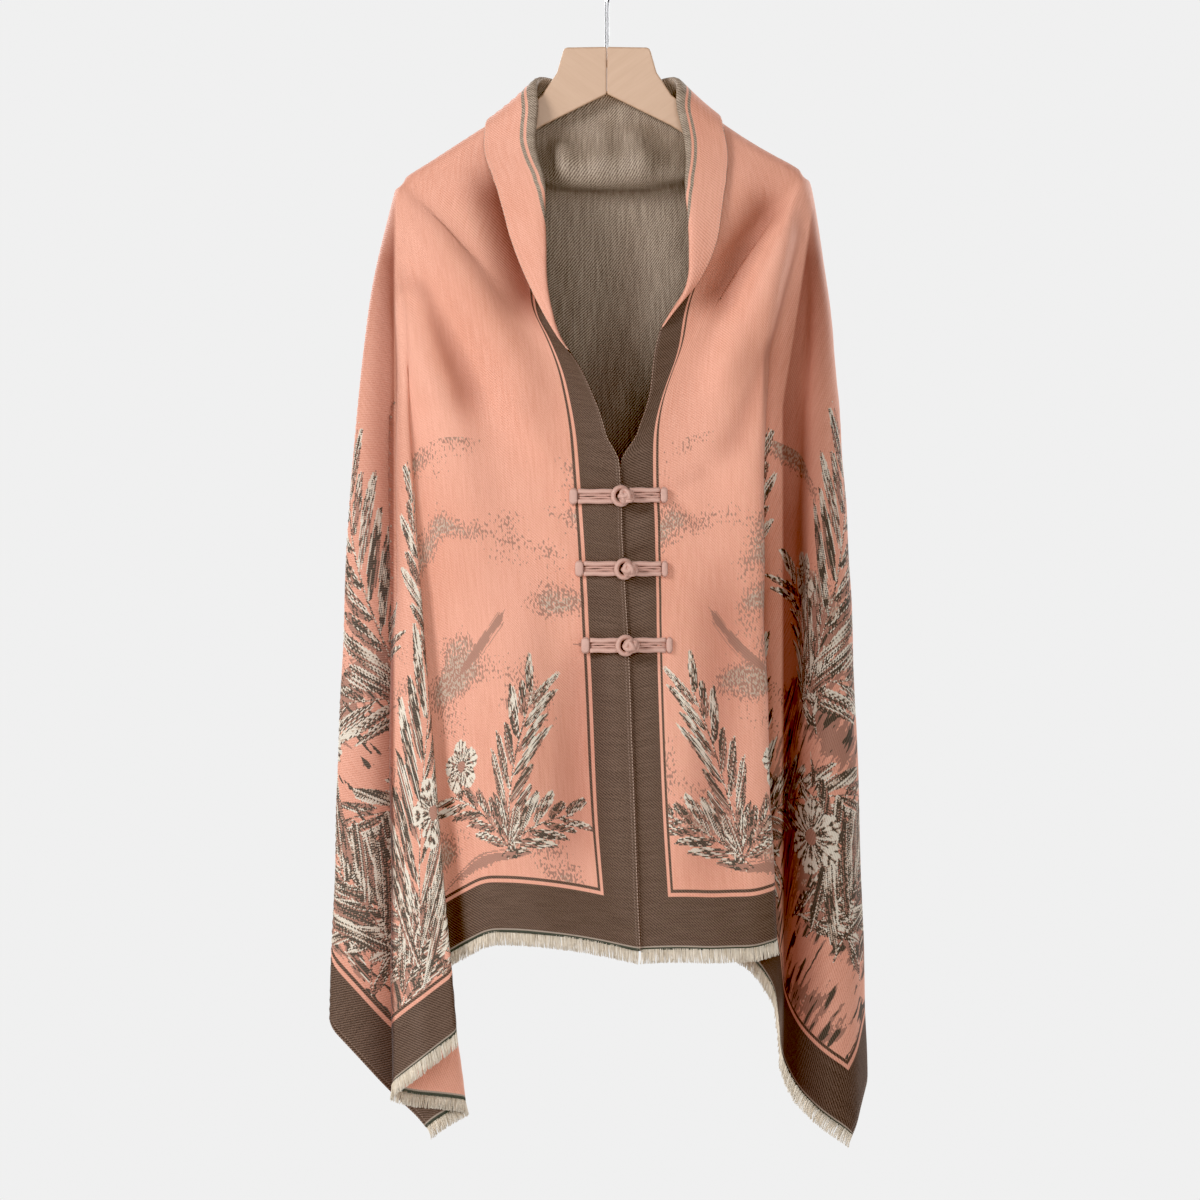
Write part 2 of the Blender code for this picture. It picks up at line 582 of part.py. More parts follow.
def laid_bar(name, side, along, near, far, section):
    """A bar with that section, laid level on a front panel from flat distance near to far."""
    downs = np.linspace(near, far, 5)
    alongs = side * level_with(side, along, downs)
    rest = WALL / 2 + LAID_GAP
    base = cloth(alongs, downs, rest)
    out = outward(alongs, downs)
    course = np.gradient(base, axis=0)
    upright = side * np.cross(course, out)
    upright /= np.linalg.norm(upright, axis=1, keepdims=True)
    rings = base[:, None] + upright[:, None] * section[None, :, :1] + out[:, None] * section[None, :, 1:]
    points = rings.reshape(-1, 3)
    count = len(section)
    faces = [
        (c * count + k, c * count + (k + 1) % count, (c + 1) * count + (k + 1) % count, (c + 1) * count + k)
        for c in range(len(downs) - 1)
        for k in range(count)
    ]
    faces += [tuple(range(count)), tuple((len(downs) - 1) * count + k for k in reversed(range(count)))]
    obj = add_mesh(name, points, faces, "cord", smooth=False)
    point_outward(obj)
    return obj


def knot_centre(frog):
    """The ball sits between the two front edges, resting on them."""
    left = cloth(-frog.left_along, 0.0)
    right = cloth(frog.right_along, 0.0)
    rest = KNOT_RADIUS + WALL / 2 + 2 * LAID_GAP - frog.sink
    return (left + right) / 2 + np.array([frog.aside, -rest, 0])


def add_frog(frog):
    """Two straps of three cords, their wrapped ends, and the ball knot that closes them."""
    strap = lobed_section(STRAP_HEIGHT, STRAP_THICK, CORDS)
    wrap = lobed_section(WRAP_HEIGHT, WRAP_THICK, 1, sides=6)
    ends = ((-1, "left", frog.left_along, frog.left_reach), (1, "right", frog.right_along, frog.right_reach))
    for side, label, along, reach in ends:
        near = KNOT_RADIUS * 0.9 + side * frog.aside
        far = reach - WRAP_LENGTH
        laid_bar(f"frog_{frog.name}_{label}_strap", side, along, near, far, strap)
        laid_bar(f"frog_{frog.name}_{label}_wrap", side, along, far + LAID_GAP, far + WRAP_LENGTH, wrap)
    work = bmesh.new()
    bmesh.ops.create_uvsphere(work, u_segments=14, v_segments=9, radius=KNOT_RADIUS)
    mesh = bpy.data.meshes.new(f"frog_{frog.name}_knot")
    work.to_mesh(mesh)
    work.free()
    mesh.shade_smooth()
    mesh.materials.append(material("cord"))
    obj = bpy.data.objects.new(mesh.name, mesh)
    obj.location = knot_centre(frog)
    PART.objects.link(obj)


# ---- hanger ----------------------------------------------------------------------------------------
# Outline of one arm, from the mitre at the middle outward: distance out and height, in millimetres.
ARM_TOP = ((0.2, -98), (40, -99.5), (47.5, -122.5), (61.8, -144), (112, -182), (132, -197), (138, -201))
ARM_UNDER = ((139, -205), (136, -207.5), (130, -207.5), (104, -200), (61, -173), (0.2, -143))


def hanger_arm(name, side):
    """A flat wooden arm, its outline given half the thickness each way and its edges rounded."""
    outline = [(side * x / 1000, z / 1000) for x, z in ARM_TOP + ARM_UNDER]
    if side < 0:
        outline = outline[::-1]
    work = bmesh.new()
    ring = [work.verts.new((x, -ARM_THICK / 2, z)) for x, z in outline]
    face = work.faces.new(ring)
    moved = bmesh.ops.extrude_face_region(work, geom=[face])["geom"]
    corners = [v for v in moved if isinstance(v, bmesh.types.BMVert)]
    bmesh.ops.translate(work, verts=corners, vec=(0, ARM_THICK, 0))
    bmesh.ops.recalc_face_normals(work, faces=work.faces)
    mesh = bpy.data.meshes.new(name)
    work.to_mesh(mesh)
    work.free()
    mesh.materials.append(material("wood"))
    obj = bpy.data.objects.new(name, mesh)
    PART.objects.link(obj)
    seat = obj.modifiers.new("hook seat", "BOOLEAN")
    seat.operation = "DIFFERENCE"
    seat.object = SEAT
    rounding = obj.modifiers.new("edges", "BEVEL")
    rounding.width = ARM_EDGE
    rounding.segments = 1
    rounding.limit_method = "ANGLE"
    rounding.angle_limit = math.radians(60)
    return obj


def hook_cutter():
    """The hole for the hook's stem, down the mitre."""
    bpy.ops.mesh.primitive_cylinder_add(vertices=16, radius=HOOK_WIRE + 0.0008, depth=0.04)
    obj = bpy.context.object
    obj.name = "hook_seat_cutter"
    obj.location = (0, 0, HOOK_SEAT - GAP + 0.02)
    obj.display_type = "WIRE"
    obj.hide_render = True
    for group in list(obj.users_collection):
        group.objects.unlink(obj)
    CUTTERS.objects.link(obj)
    return obj


def hanger_hook():
    """The steel hook: a straight stem, a reverse bend, and most of a circle round the mount."""
    radius = HOOK_INNER + HOOK_WIRE
    centre = -HOOK_INNER
    stem = [(0, z) for z in (HOOK_SEAT, -0.100, -0.080, HOOK_BENDS)]
    leave = math.radians(-52)
    joins = np.array([radius * math.cos(leave), centre + radius * math.sin(leave)])
    bend = []
    for share in np.linspace(0, 1, 8)[1:-1]:
        low = np.array([0, HOOK_BENDS]) * (1 + 2 * share) + np.array([0, radius]) * share
        high = joins * (3 - 2 * share) + radius * np.array([-math.sin(leave), math.cos(leave)]) * (share - 1)
        bend.append(tuple(low * (1 - share) ** 2 + high * share**2))
    turns = np.radians(np.linspace(-52, 205, 22))
    ring = [(radius * math.cos(a), centre + radius * math.sin(a)) for a in turns]
    path = stem + bend + ring
    curve = bpy.data.curves.new("hanger_hook", "CURVE")
    curve.dimensions = "3D"
    curve.bevel_depth = HOOK_WIRE
    curve.bevel_resolution = 1
    curve.use_fill_caps = True
    spline = curve.splines.new("POLY")
    spline.points.add(len(path) - 1)
    for point, (x, z) in zip(spline.points, path):
        point.co = (x, 0, z, 1)
    curve.materials.append(material("steel"))
    obj = bpy.data.objects.new("hanger_hook", curve)
    PART.objects.link(obj)
    return obj


clear_scene()
PART = collection("fringed_cloak_shawl")
CUTTERS = collection("cutters", shown=False)
SEAT = hook_cutter()
hanger_arm("hanger_arm_left", -1)
hanger_arm("hanger_arm_right", 1)
hanger_hook()
side_stretch("shawl_left", LEFT_FOLDS, -1)
side_stretch("shawl_right", RIGHT_FOLDS, 1)
back_stretch()
back_half = np.array(COLLAR_BACK_ALONGS + (COLLAR_SEAM - SEAM,))
collar_stretch("collar_back", np.concatenate([-back_half[:0:-1], back_half]), RIDGE_FLAP_ROWS)
collar_stretch("collar_left", -np.append(COLLAR_SEAM + SEAM, collar_line(-1)), slant=1.0)
collar_stretch("collar_right", np.append(COLLAR_SEAM + SEAM, collar_line(1)), slant=1.0)
fringe("fringe_left", -1)
fringe("fringe_right", 1)
for frog in FROGS:
    add_frog(frog)
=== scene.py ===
# %% [markdown]
# # A cloak shawl on a wooden hanger
#
# This piece is one woven rectangle, 0.70 m by 1.86 m, worn round the shoulders and buttoned with
# three corded knots. We could sculpt it, or let a cloth solver drop it on a hanger, but a solver
# never lands on the same folds as a photograph. Cloth that hangs from two points has a simple
# order, though: every fold is a ray that starts at a shoulder. So we write the folds down in a
# table and let numpy work out every point between them.

import math
from collections import namedtuple

import bmesh
import bpy
import numpy as np
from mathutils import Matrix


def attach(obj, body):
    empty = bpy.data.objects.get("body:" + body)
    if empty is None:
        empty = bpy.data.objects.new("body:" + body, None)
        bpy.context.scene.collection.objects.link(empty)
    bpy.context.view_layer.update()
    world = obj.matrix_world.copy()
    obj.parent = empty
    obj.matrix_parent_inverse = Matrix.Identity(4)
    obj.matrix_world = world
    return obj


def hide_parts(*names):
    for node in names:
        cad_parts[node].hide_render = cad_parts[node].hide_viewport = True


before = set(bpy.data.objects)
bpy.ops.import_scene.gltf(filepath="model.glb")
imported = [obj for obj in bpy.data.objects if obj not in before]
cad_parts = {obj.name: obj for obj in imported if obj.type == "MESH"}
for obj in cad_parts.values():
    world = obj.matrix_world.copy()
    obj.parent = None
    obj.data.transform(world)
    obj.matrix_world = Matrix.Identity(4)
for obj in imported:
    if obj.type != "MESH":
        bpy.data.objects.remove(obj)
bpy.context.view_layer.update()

# %% [markdown]
# ## The flat cloth and its folds
#
# Flat coordinates are (along, down): along runs from centre back to a fringed end, negative on the
# left, and down runs from the neck edge to the outer edge. Each row below is one fold: where its
# lower end is in the flat cloth, how it leaves the shoulder (degrees toward the middle and toward
# the viewer), and where its lower end hangs, in millimetres. These are the solid model's own rows,
# so the visible cloth lies exactly on its collision shape.

# %%
HALF_LENGTH = 0.930
WIDTH = 0.700
SHOULDER_ALONG, SHOULDER_DOWN = 0.200, 0.200
SHOULDER_ROUND, SHOULDER_FADE = 0.024, 0.030
SETTLE = 0.150
HANGER_ROUND = 0.018
TIP_ROUND = 0.020
FOLD_ROUND = 0.013
CENTRE_ROUND = 0.060
CENTRE_BLEND = 0.120
ROLL_ROUND = 0.0035
COLLAR_CLOSES = 0.35
STRAIGHT_BELOW, BENT_ABOVE, RIDGE_SWING = 0.22, 0.40, 115


def table(kind, *rows):
    """Named rows from plain ones."""
    return [kind(*row) for row in rows]


Fold = namedtuple("Fold", "name along down swing lean across back height start", defaults=(-9,))
Shoulder = namedtuple("Shoulder", "out height")
SHOULDERS = {-1: Shoulder(0.201, -0.224), 1: Shoulder(0.192, -0.2165)}
LEFT_FOLDS = table(
    Fold,
    ("behind the ridge", 0.0676, 0.0637, 118, 0, -53.5, 9.5, -135, 9),
    ("neck ridge", 0.0758, 0.052, 118, 0, -59, 0, -127.5, 0),
    ("before the ridge", 0.0887, 0.0460, 118, 0, -53.5, -9.5, -135),
    ("collar side", 0.200, 0.052, 92, 14, -63, -35, -228),
    ("lapel middle", 0.250, 0.036, 76, 14, -59, -44, -278.5),
    ("lapel lower", 0.300, 0.018, 66, 13, -56, -50, -330),
    ("lapel end", 0.350, 0.000, 56, 13, -40.4, -55, -383),
    ("chest edge", 0.380, 0.000, 52, 14, -24.7, -58, -404),
    ("above first frog", 0.430, 0.000, 47, 17, -3.8, -62, -452.4),
    ("first frog", 0.4935, 0.000, 42, 19, 10, -65, -522.6),
    ("second frog", 0.573, 0.000, 36, 16, 14.3, -70, -595.8),
    ("third frog", 0.650, 0.000, 31, 14, 19, -74, -668),
    ("front corner", 0.930, 0.000, 23, 16, 29.9, -85, -958.7),
    ("hem inner", 0.930, 0.110, 18, 17, -58.9, -90, -942.6),
    ("hem outer", 0.930, 0.190, 13, 15, -112, -82, -940.3),
    ("hem dips back", 0.930, 0.245, 10, 12, -148, -62, -960),
    ("pocket valley", 0.930, 0.325, 6, 10, -188, -74, -985),
    ("front pleat, inner edge", 0.930, 0.405, 2, 11, -138.7, -97, -1033.8),
    ("front pleat, middle", 0.930, 0.465, -1, 11, -176, -102, -1062),
    ("front pleat, outer edge", 0.930, 0.520, -4, 8, -208, -80, -1087.5, -8),
    ("under the pleat", 0.930, 0.555, -6, 6, -184, -46, -1095, -8),
    ("inner side fold", 0.930, 0.635, -10, 4, -130.2, -28, -1101.2, -6),
    ("outer corner", 0.930, 0.700, -14, 2, -171.3, -14, -1125.3, -4),
    ("outer edge, low", 0.875, 0.700, -17, 0, -209, -6, -1091.7, -2),
    ("side line", 0.785, 0.700, -20, -1, -270.8, 6, -1025.2, 0),
    ("first back valley", 0.665, 0.700, -14, -5, -190, 24, -918.8, 3),
    ("first back pleat", 0.540, 0.700, -9, -9, -262, 60, -838, 6),
    ("second back valley", 0.430, 0.700, -5, -12, -178, 86, -782, 9),
    ("second back pleat", 0.300, 0.700, -2, -11, -246, 112, -742, 9),
    ("back panel edge", 0.200, 0.700, 0, -5, -200, 44, -736, 9),
)
RIGHT_FOLDS = table(
    Fold,
    ("behind the ridge", 0.0676, 0.0637, 116, 0, 53.5, 9.5, -135, 9),
    ("neck ridge", 0.0758, 0.052, 116, 0, 59, 0, -127.5, 0),
    ("before the ridge", 0.0887, 0.0460, 116, 0, 53.5, -9.5, -135),
    ("collar side", 0.200, 0.050, 90, 14, 77, -35, -232),
    ("lapel middle", 0.250, 0.034, 74, 10, 78, -44, -283),
    ("lapel lower", 0.290, 0.018, 64, 8, 76, -48, -326),
    ("lapel end", 0.335, 0.000, 58, 12, 52.7, -52, -361),
    ("chest edge", 0.365, 0.000, 55, 14, 44.7, -56, -388.7),
    ("chest", 0.410, 0.000, 51, 17, 40.9, -58, -433.4),
    ("above first frog", 0.450, 0.000, 46, 20, 27.6, -61, -468.5),
    ("first frog", 0.500, 0.000, 42, 18, 13.5, -64, -520.8),
    ("second frog", 0.578, 0.000, 38, 15, 16.2, -69, -596.3),
    ("third frog", 0.653, 0.000, 35, 16, 20.9, -73, -668),
    ("front corner", 0.930, 0.000, 31, 18, 31.9, -84, -957.8),
    ("hem inner", 0.930, 0.080, 28, 19, 98, -88, -957.5),
    ("hem outer", 0.930, 0.130, 26, 20, 140.8, -80, -956.5),
    ("front pleat edge", 0.930, 0.165, 24, 20, 166.3, -66, -948.3),
    ("deep valley", 0.930, 0.310, 11, 6, 40, 12, -924),
    ("behind the pleat", 0.930, 0.400, 5, 5, 95, 18, -940),
    ("side panel, inner", 0.930, 0.480, 0, 5, 143.5, -22, -970),
    ("side panel, bend", 0.930, 0.515, -2, 6, 160, -30, -995.8, -8),
    ("side panel, crest", 0.930, 0.600, -6, 5, 167.2, -44, -1063, -7),
    ("side panel, low", 0.930, 0.635, -8, 4, 180.9, -42, -1090.5, -6),
    ("side panel, outer", 0.930, 0.670, -9, 3, 206, -36, -1116, -5),
    ("outer corner", 0.930, 0.700, -12, 2, 236, -22, -1135.5, -3),
    ("side line", 0.850, 0.700, -15, 0, 250.5, 4, -1071.8, 0),
    ("first back valley", 0.730, 0.700, -12, -5, 180, 24, -958, 3),
    ("first back pleat", 0.590, 0.700, -8, -9, 243, 62, -872, 6),
    ("second back valley", 0.460, 0.700, -5, -12, 165, 88, -798, 9),
    ("second back pleat", 0.320, 0.700, -2, -11, 238, 114, -748, 9),
    ("back panel edge", 0.200, 0.700, 0, -5, 200, 44, -736, 9),
)
CENTRE_FOLDS = table(
    Fold,
    ("back hem", 0, 0.700, 22, -5, 0, 44, -744, 9),
    ("back panel", 0, 0.300, 63, -5, 0, 28, -345, 9),
    ("under the neck swag", 0, 0.190, 93, -5, 0, 18, -237, 9),
    ("neck swag", 0, 0.155, 93, 0, 0, -16, -228, 9),
    ("above the swag", 0, 0.110, 103, -2, 0, 2, -190, 9),
    ("back of the neck", 0, 0.052, 113, -3, 0, 12, -150, 9),
)
print("fold rows:", len(LEFT_FOLDS), len(RIGHT_FOLDS), len(CENTRE_FOLDS))


# %% [markdown]
# ## From folds to a surface
#
# Between two folds the rays are blended, and each ray is averaged with its neighbours over a few
# degrees, which gives every bend an even radius. A ray leaves the shoulder in one direction and
# settles toward another as it gets heavier: that is the whole trick behind the curved sides.

# %%
def smooth(value):
    """Smoothstep: 3 v^2 - 2 v^3 for v held between 0 and 1."""
    value = np.clip(value, 0, 1)
    return value * value * (3 - 2 * value)


def unit(vectors):
    return vectors / np.maximum(np.linalg.norm(vectors, axis=-1, keepdims=True), 1e-9)


def direction(swing, lean, side):
    """Unit vector that swings from straight down to the middle and leans toward the viewer."""
    swing, lean = np.radians(swing), np.radians(lean)
    across = -side * np.sin(swing) * np.cos(lean)
    return np.stack([across, -np.sin(lean), -np.cos(swing) * np.cos(lean)], -1)


def rounded(radius):
    """Distance along a ray with the cone's point rounded off: sqrt(r^2 + a^2) - a."""
    return np.sqrt(radius**2 + TIP_ROUND**2) - TIP_ROUND


def turning(radius):
    """What is left of a ray's first direction: a (1 - exp(-r / a))."""
    return SETTLE * (1 - np.exp(-radius / SETTLE))


class HalfCone:
    """One half of the cloth: rays round a shoulder, blended between the rows of its table."""

    STEP = 0.1

    def __init__(self, folds, side):
        self.shoulder = np.array([side * SHOULDERS[side].out, 0, SHOULDERS[side].height])
        rows = np.array([fold[1:] for fold in folds], float)
        ahead, below = rows[:, 0] - SHOULDER_ALONG, rows[:, 1] - SHOULDER_DOWN
        swing, lean, begin = rows[:, 2], rows[:, 3], rows[:, 7] / 1000
        angle = np.degrees(np.arctan2(below, ahead))
        angle = np.where((begin > 0) & (angle < 0), angle + 360, angle)
        reach = np.hypot(ahead, below)
        start = np.stack([0 * begin, begin, 0 * begin], 1)
        hang = rows[:, 4:7] / 1000 - self.shoulder - start
        length = rounded(reach)[:, None]
        straight = hang / length
        given = direction(swing, lean, side)
        share = smooth((reach - STRAIGHT_BELOW) / (BENT_ABOVE - STRAIGHT_BELOW))
        share = np.where(swing > RIDGE_SWING, 1, share)[:, None]
        leave = straight * (1 - share) + given * share
        kept = turning(length)
        settle = (hang - kept * leave) / (length - kept)
        order = np.argsort(angle)
        angle = angle[order]
        values = np.concatenate([leave, settle, start], 1)[order]
        self.first = angle[0]
        angle = np.append(angle, angle[0] + 360)
        values = np.vstack([values, values[:1]])
        self.samples = np.arange(self.first - 90, self.first + 450, self.STEP)
        wrapped = (self.samples - self.first) % 360 + self.first
        rays = np.stack([np.interp(wrapped, angle, column) for column in values.T], 1)
        steps = (rays[1:] + rays[:-1]) / 2 * self.STEP
        self.sums = np.vstack([np.zeros(rays.shape[1]), np.cumsum(steps, 0)])

    def averaged(self, angle, spread):
        """The rays averaged over angle +- spread, from the running sums."""
        above = np.stack([np.interp(angle + spread, self.samples, c) for c in self.sums.T], -1)
        below = np.stack([np.interp(angle - spread, self.samples, c) for c in self.sums.T], -1)
        return (above - below) / (2 * spread)[..., None]

    def point(self, along, down):
        """Where a flat point hangs: near the shoulder, the mean of a circle of points round it."""
        near = np.hypot(along - SHOULDER_ALONG, down - SHOULDER_DOWN)
        found = self.on_ray(along, down)
        close = near < 3 * SHOULDER_FADE
        if close.any():
            along, down, near = along[close], down[close], near[close]
            reach = SHOULDER_ROUND * np.exp(-((near / SHOULDER_FADE) ** 2))
            turns = np.linspace(0, 2 * math.pi, 12, endpoint=False)
            ring = [self.on_ray(along + reach * np.cos(t), down + reach * np.sin(t)) for t in turns]
            found[close] = sum(ring) / len(turns)
        return found

    def on_ray(self, along, down):
        """A point of the bare cone: shoulder + start + settled ray + what is left of its first turn."""
        ahead, below = along - SHOULDER_ALONG, down - SHOULDER_DOWN
        angle = np.degrees(np.arctan2(below, ahead))
        angle = np.where(angle < self.first, angle + 360, angle)
        radius = np.hypot(ahead, below)
        spread = np.minimum(np.degrees(FOLD_ROUND / np.maximum(radius, 0.012)), 60)
        rays = self.averaged(angle, spread)
        leave, settle, start = rays[..., :3], rays[..., 3:6], rays[..., 6:]
        length = rounded(radius)[..., None]
        clear = 1 - np.exp(-radius / HANGER_ROUND)[..., None]
        return self.shoulder + start * clear + length * settle + turning(length) * (leave - settle)


def centre_rows(side):
    return [row._replace(across=side * row.across) for row in CENTRE_FOLDS]


HALVES = {
    -1: HalfCone(LEFT_FOLDS + centre_rows(-1), -1),
    1: HalfCone(RIGHT_FOLDS + centre_rows(1), 1),
}


def hung(along, down):
    """The cloth without its turned collar. The two cones merge softly at centre back."""
    along, down = np.broadcast_arrays(np.asarray(along, float), np.asarray(down, float))
    away = np.abs(along)
    soft = np.where(away < CENTRE_ROUND, (away**2 / CENTRE_ROUND + CENTRE_ROUND) / 2, away)
    left, right = HALVES[-1].point(soft, down), HALVES[1].point(soft, down)
    side = np.where(along < 0, -1.0, 1.0)
    middle = (left * [-1, 1, 1] + right) / 2
    middle[..., 0] *= side
    share = smooth(away / CENTRE_BLEND)[..., None]
    merged = np.where(along[..., None] < 0, left, right) * share + middle * (1 - share)
    merged[..., 0] = merged[..., 0] * share[..., 0] + along * (1 - share[..., 0])
    return merged


def outward(along, down, step=0.002):
    """Unit normal on the face side, from differences of the surface."""
    over = hung(along + step, down) - hung(along - step, down)
    under = hung(along, down + step) - hung(along, down - step)
    return unit(np.cross(over, under))


for place, flat_point in {"left front corner": (-0.93, 0.0), "centre back hem": (0.0, 0.7)}.items():
    print(place, "hangs at", hung(*flat_point).round(3))

# %% [markdown]
# ## The turned collar
#
# Past the roll line the cloth folds back over itself. A fold-over is a mirror: the point that
# should lie w above the roll line is put w below it and a little out. One formula does both sides
# of the bend, so no separate collar has to be sewn on.

# %%
# How far along the neck edge, and how far below it the collar rolls over on the left and the right.
COLLAR_ROLL = (
    (0.000, 0.055, 0.055),
    (0.100, 0.053, 0.053),
    (0.150, 0.051, 0.050),
    (0.200, 0.046, 0.045),
    (0.250, 0.034, 0.033),
    (0.295, 0.020, 0.018),
    (0.325, 0.011, 0.006),
    (0.345, 0.005, 0.000),
    (0.360, 0.000, 0.000),
    (HALF_LENGTH, 0.000, 0.000),
)


def collar_width(along):
    """Flat distance from the neck edge to the line on which the collar rolls over."""
    stations, left, right = np.transpose(COLLAR_ROLL)
    away = np.abs(along)
    left, right = np.interp(away, stations, left), np.interp(away, stations, right)
    return np.where(np.asarray(along) < 0, left, right)


def cloth(along, down):
    """The whole cloth. With w the distance below the roll line and a the bend's radius, a point lies
    sqrt(w^2 + a^2) - a below the line and a (1 - w / sqrt(w^2 + a^2)) out from the panel."""
    along, down = np.broadcast_arrays(np.asarray(along, float), np.asarray(down, float))
    roll = collar_width(along)
    below = down - roll
    radius = ROLL_ROUND * np.clip(roll / 0.004, 0, 1) + 1e-6
    root = np.sqrt(below**2 + radius**2)
    inward = roll + root - radius * np.exp(-np.abs(below) / 0.02)
    closes = COLLAR_CLOSES * np.clip(-below / np.maximum(roll, 1e-6), 0, 1)
    out = radius * (1 - below / root) * (1 - closes)
    return hung(along, inward) + outward(along, inward) * out[..., None]


print("roll line at the neck:", cloth(0.0, 0.055).round(3))

# %% [markdown]
# ## Creases
#
# The table gives the big folds. What makes cloth look like cloth are the soft pulls between them:
# from the shoulder to the first frog, beside the lapels, round the knots. Each is a line in the
# front view, x and z in millimetres, raised or sunk along the surface's normal with a bell curve.
# They are uneven on purpose.

# %%
Crease = namedtuple("Crease", "name face height width line")
CREASES = table(
    Crease,
    ("pull to the first frog, left", "left", 12, 24,
     (-186, -240, -158, -300, -122, -352, -86, -410, -56, -480)),
    ("outer pull, left", "left", 7, 18, (-192, -322, -180, -384, -160, -450)),
    ("hollow between them, left", "left", -8, 17, (-190, -292, -167, -350, -138, -409, -116, -466)),
    ("hollow by the lapel, left", "left", -15, 22, (-116, -200, -100, -260, -84, -320, -66, -372)),
    ("fold by the side pleat", "left", -10, 16, (-212, -262, -214, -330, -216, -480, -216, -700)),
    ("second pull, left", "left", 3.5, 12, (-100, -420, -70, -470, -44, -506)),
    ("hollow on the right", "right", -10.5, 21, (176, -226, 152, -262, 130, -296, 112, -330, 104, -370)),
    ("pull on the right", "right", 9, 18, (180, -232, 168, -280, 146, -330, 120, -390, 96, -450)),
    ("second hollow, right", "right", -5, 13, (160, -360, 142, -420, 124, -470, 100, -500)),
    ("fold by the right pleat", "right", -10, 14, (196, -262, 190, -330, 178, -440, 176, -700)),
    ("pucker below the first frog", "right", -2.0, 6, (64, -532, 92, -560)),
    ("pucker above the first frog", "right", -1.6, 6, (64, -518, 100, -500)),
    ("pucker in the border, upper", "right", 2.4, 9, (16, -566, 52, -540)),
    ("pucker in the border, middle", "right", -2.0, 7, (20, -584, 54, -574)),
    ("pucker in the border, lower", "right", 2.2, 9, (22, -640, 56, -618)),
    ("pucker by the middle frog", "left", -1.8, 8, (-26, -622, 10, -632)),
    ("pull above the middle frog", "left", 2.0, 10, (-60, -560, -24, -590)),
    ("soft fall, left front", "left", 8, 34, (-70, -560, -82, -720, -96, -900)),
    ("soft hollow, left front", "left", -7, 30, (-28, -640, -30, -760, -34, -900)),
    ("soft fall, right front", "right", -7, 28, (112, -560, 104, -760, 92, -930)),
    ("soft hollow, right front", "right", 3, 22, (66, -600, 62, -760, 58, -900)),
    ("bulge over the sag", "back", -9, 20, (-66, -206, -20, -212, 24, -208, 70, -196)),
    ("neck fold, left", "back", -8, 9, (-44, -186, -42, -205, -40, -226)),
    ("neck fold, middle", "back", -6, 8, (-4, -164, -3, -190, 0, -226)),
    ("neck fold, right", "back", -8, 12, (24, -170, 28, -195, 34, -226)),
    ("under the sag, left", "back", -3, 14, (-30, -250, -26, -330, -24, -420)),
    ("under the sag, right", "back", 3, 16, (22, -250, 24, -340, 26, -430)),
    ("back pull, left", "back", -8, 26, (-150, -262, -110, -420, -92, -700)),
    ("back pull, right", "back", -7, 26, (150, -262, 120, -450, 104, -700)),
    ("back fall", "back", 6, 30, (-12, -330, 6, -520, 14, -740)),
    ("back fall, left", "back", 5, 22, (-70, -420, -58, -740)),
    ("back fall, right", "back", 4, 20, (64, -380, 60, -740)),
)


FADE_SHARE, FADE_REST = 0.25, 0.15


def bell_along(points, line, width):
    """exp(-(d / width)^2), with d the distance to the line in the front view, fading at its ends."""
    flat = points[..., [0, 2]] * 1000
    line = np.reshape(line, (-1, 2)).astype(float)
    best = np.zeros(flat.shape[:-1])
    total = sum(math.dist(a, b) for a, b in zip(line, line[1:]))
    done = 0.0
    for start, end in zip(line, line[1:]):
        course = end - start
        size = np.linalg.norm(course)
        share = np.clip(((flat - start) @ course) / size**2, 0, 1)
        away = np.linalg.norm(flat - start - share[..., None] * course, axis=-1)
        place = (done + share * size) / total
        fade = smooth(place / FADE_SHARE) * smooth((1 - place) / FADE_SHARE)
        fade = fade * (1 - FADE_REST) + FADE_REST
        best = np.maximum(best, np.exp(-((away / width) ** 2)) * fade)
        done += size
    return best


def face_mask(points, normal, along, down, face):
    """Which stretch of the cloth a crease may touch: below the roll, and in front or behind."""
    below_roll = smooth((down - collar_width(along) - 0.006) / 0.02)
    if face == "back":
        return below_roll * smooth((0.20 - np.abs(along)) / 0.05)
    side = -1 if face == "left" else 1
    in_front = smooth((-points[..., 1] - 0.002) / 0.02) * smooth((0.10 - normal[..., 1]) / 0.25)
    return below_roll * in_front * (side * along > 0)


# %% [markdown]
# ## The grid
#
# One grid covers the whole rectangle, with rows that bunch up round the collar's roll so that the
# bend stays round. The cloth is then given two skins and a rim, because a real double weave has a
# face, a reverse with the colours swapped, and a visible edge. How deep each hollow is goes into an
# attribute, painted_fold_shade, by which the cloth's materials darken their colour: painted shade in the
# creases.

# %%
COLUMNS = 322
FLAP_SHARES = (0.0, 0.025, 0.15, 0.30, 0.45, 0.60, 0.74, 0.86, 0.93, 0.967, 1.0)
BEND_STEPS = (0.00175, 0.0035, 0.007)
BODY_ROWS = 126
THICKNESS = 0.0014
LEAST_FLAP = 0.010
BODY_STARTS = 0.011
# A hollow this deep, in metres, gets the full painted shade in its crease.
PAINTED_SHADE_FULL_DEPTH = 0.015
RIPPLE = 0.0009
# How far each front's edge moves over, by height below the rail, so that the fronts meet.
SEAM_HEIGHTS = (0.470, 0.490, 0.520, 0.560, 0.640, 0.700, 0.760, 0.930)
SEAM_SHIFTS = (0.0, 0.0078, 0.0043, 0.0022, 0.0019, 0.0016, 0.0013, 0.0014)
SEAM_STEP = 0.0009


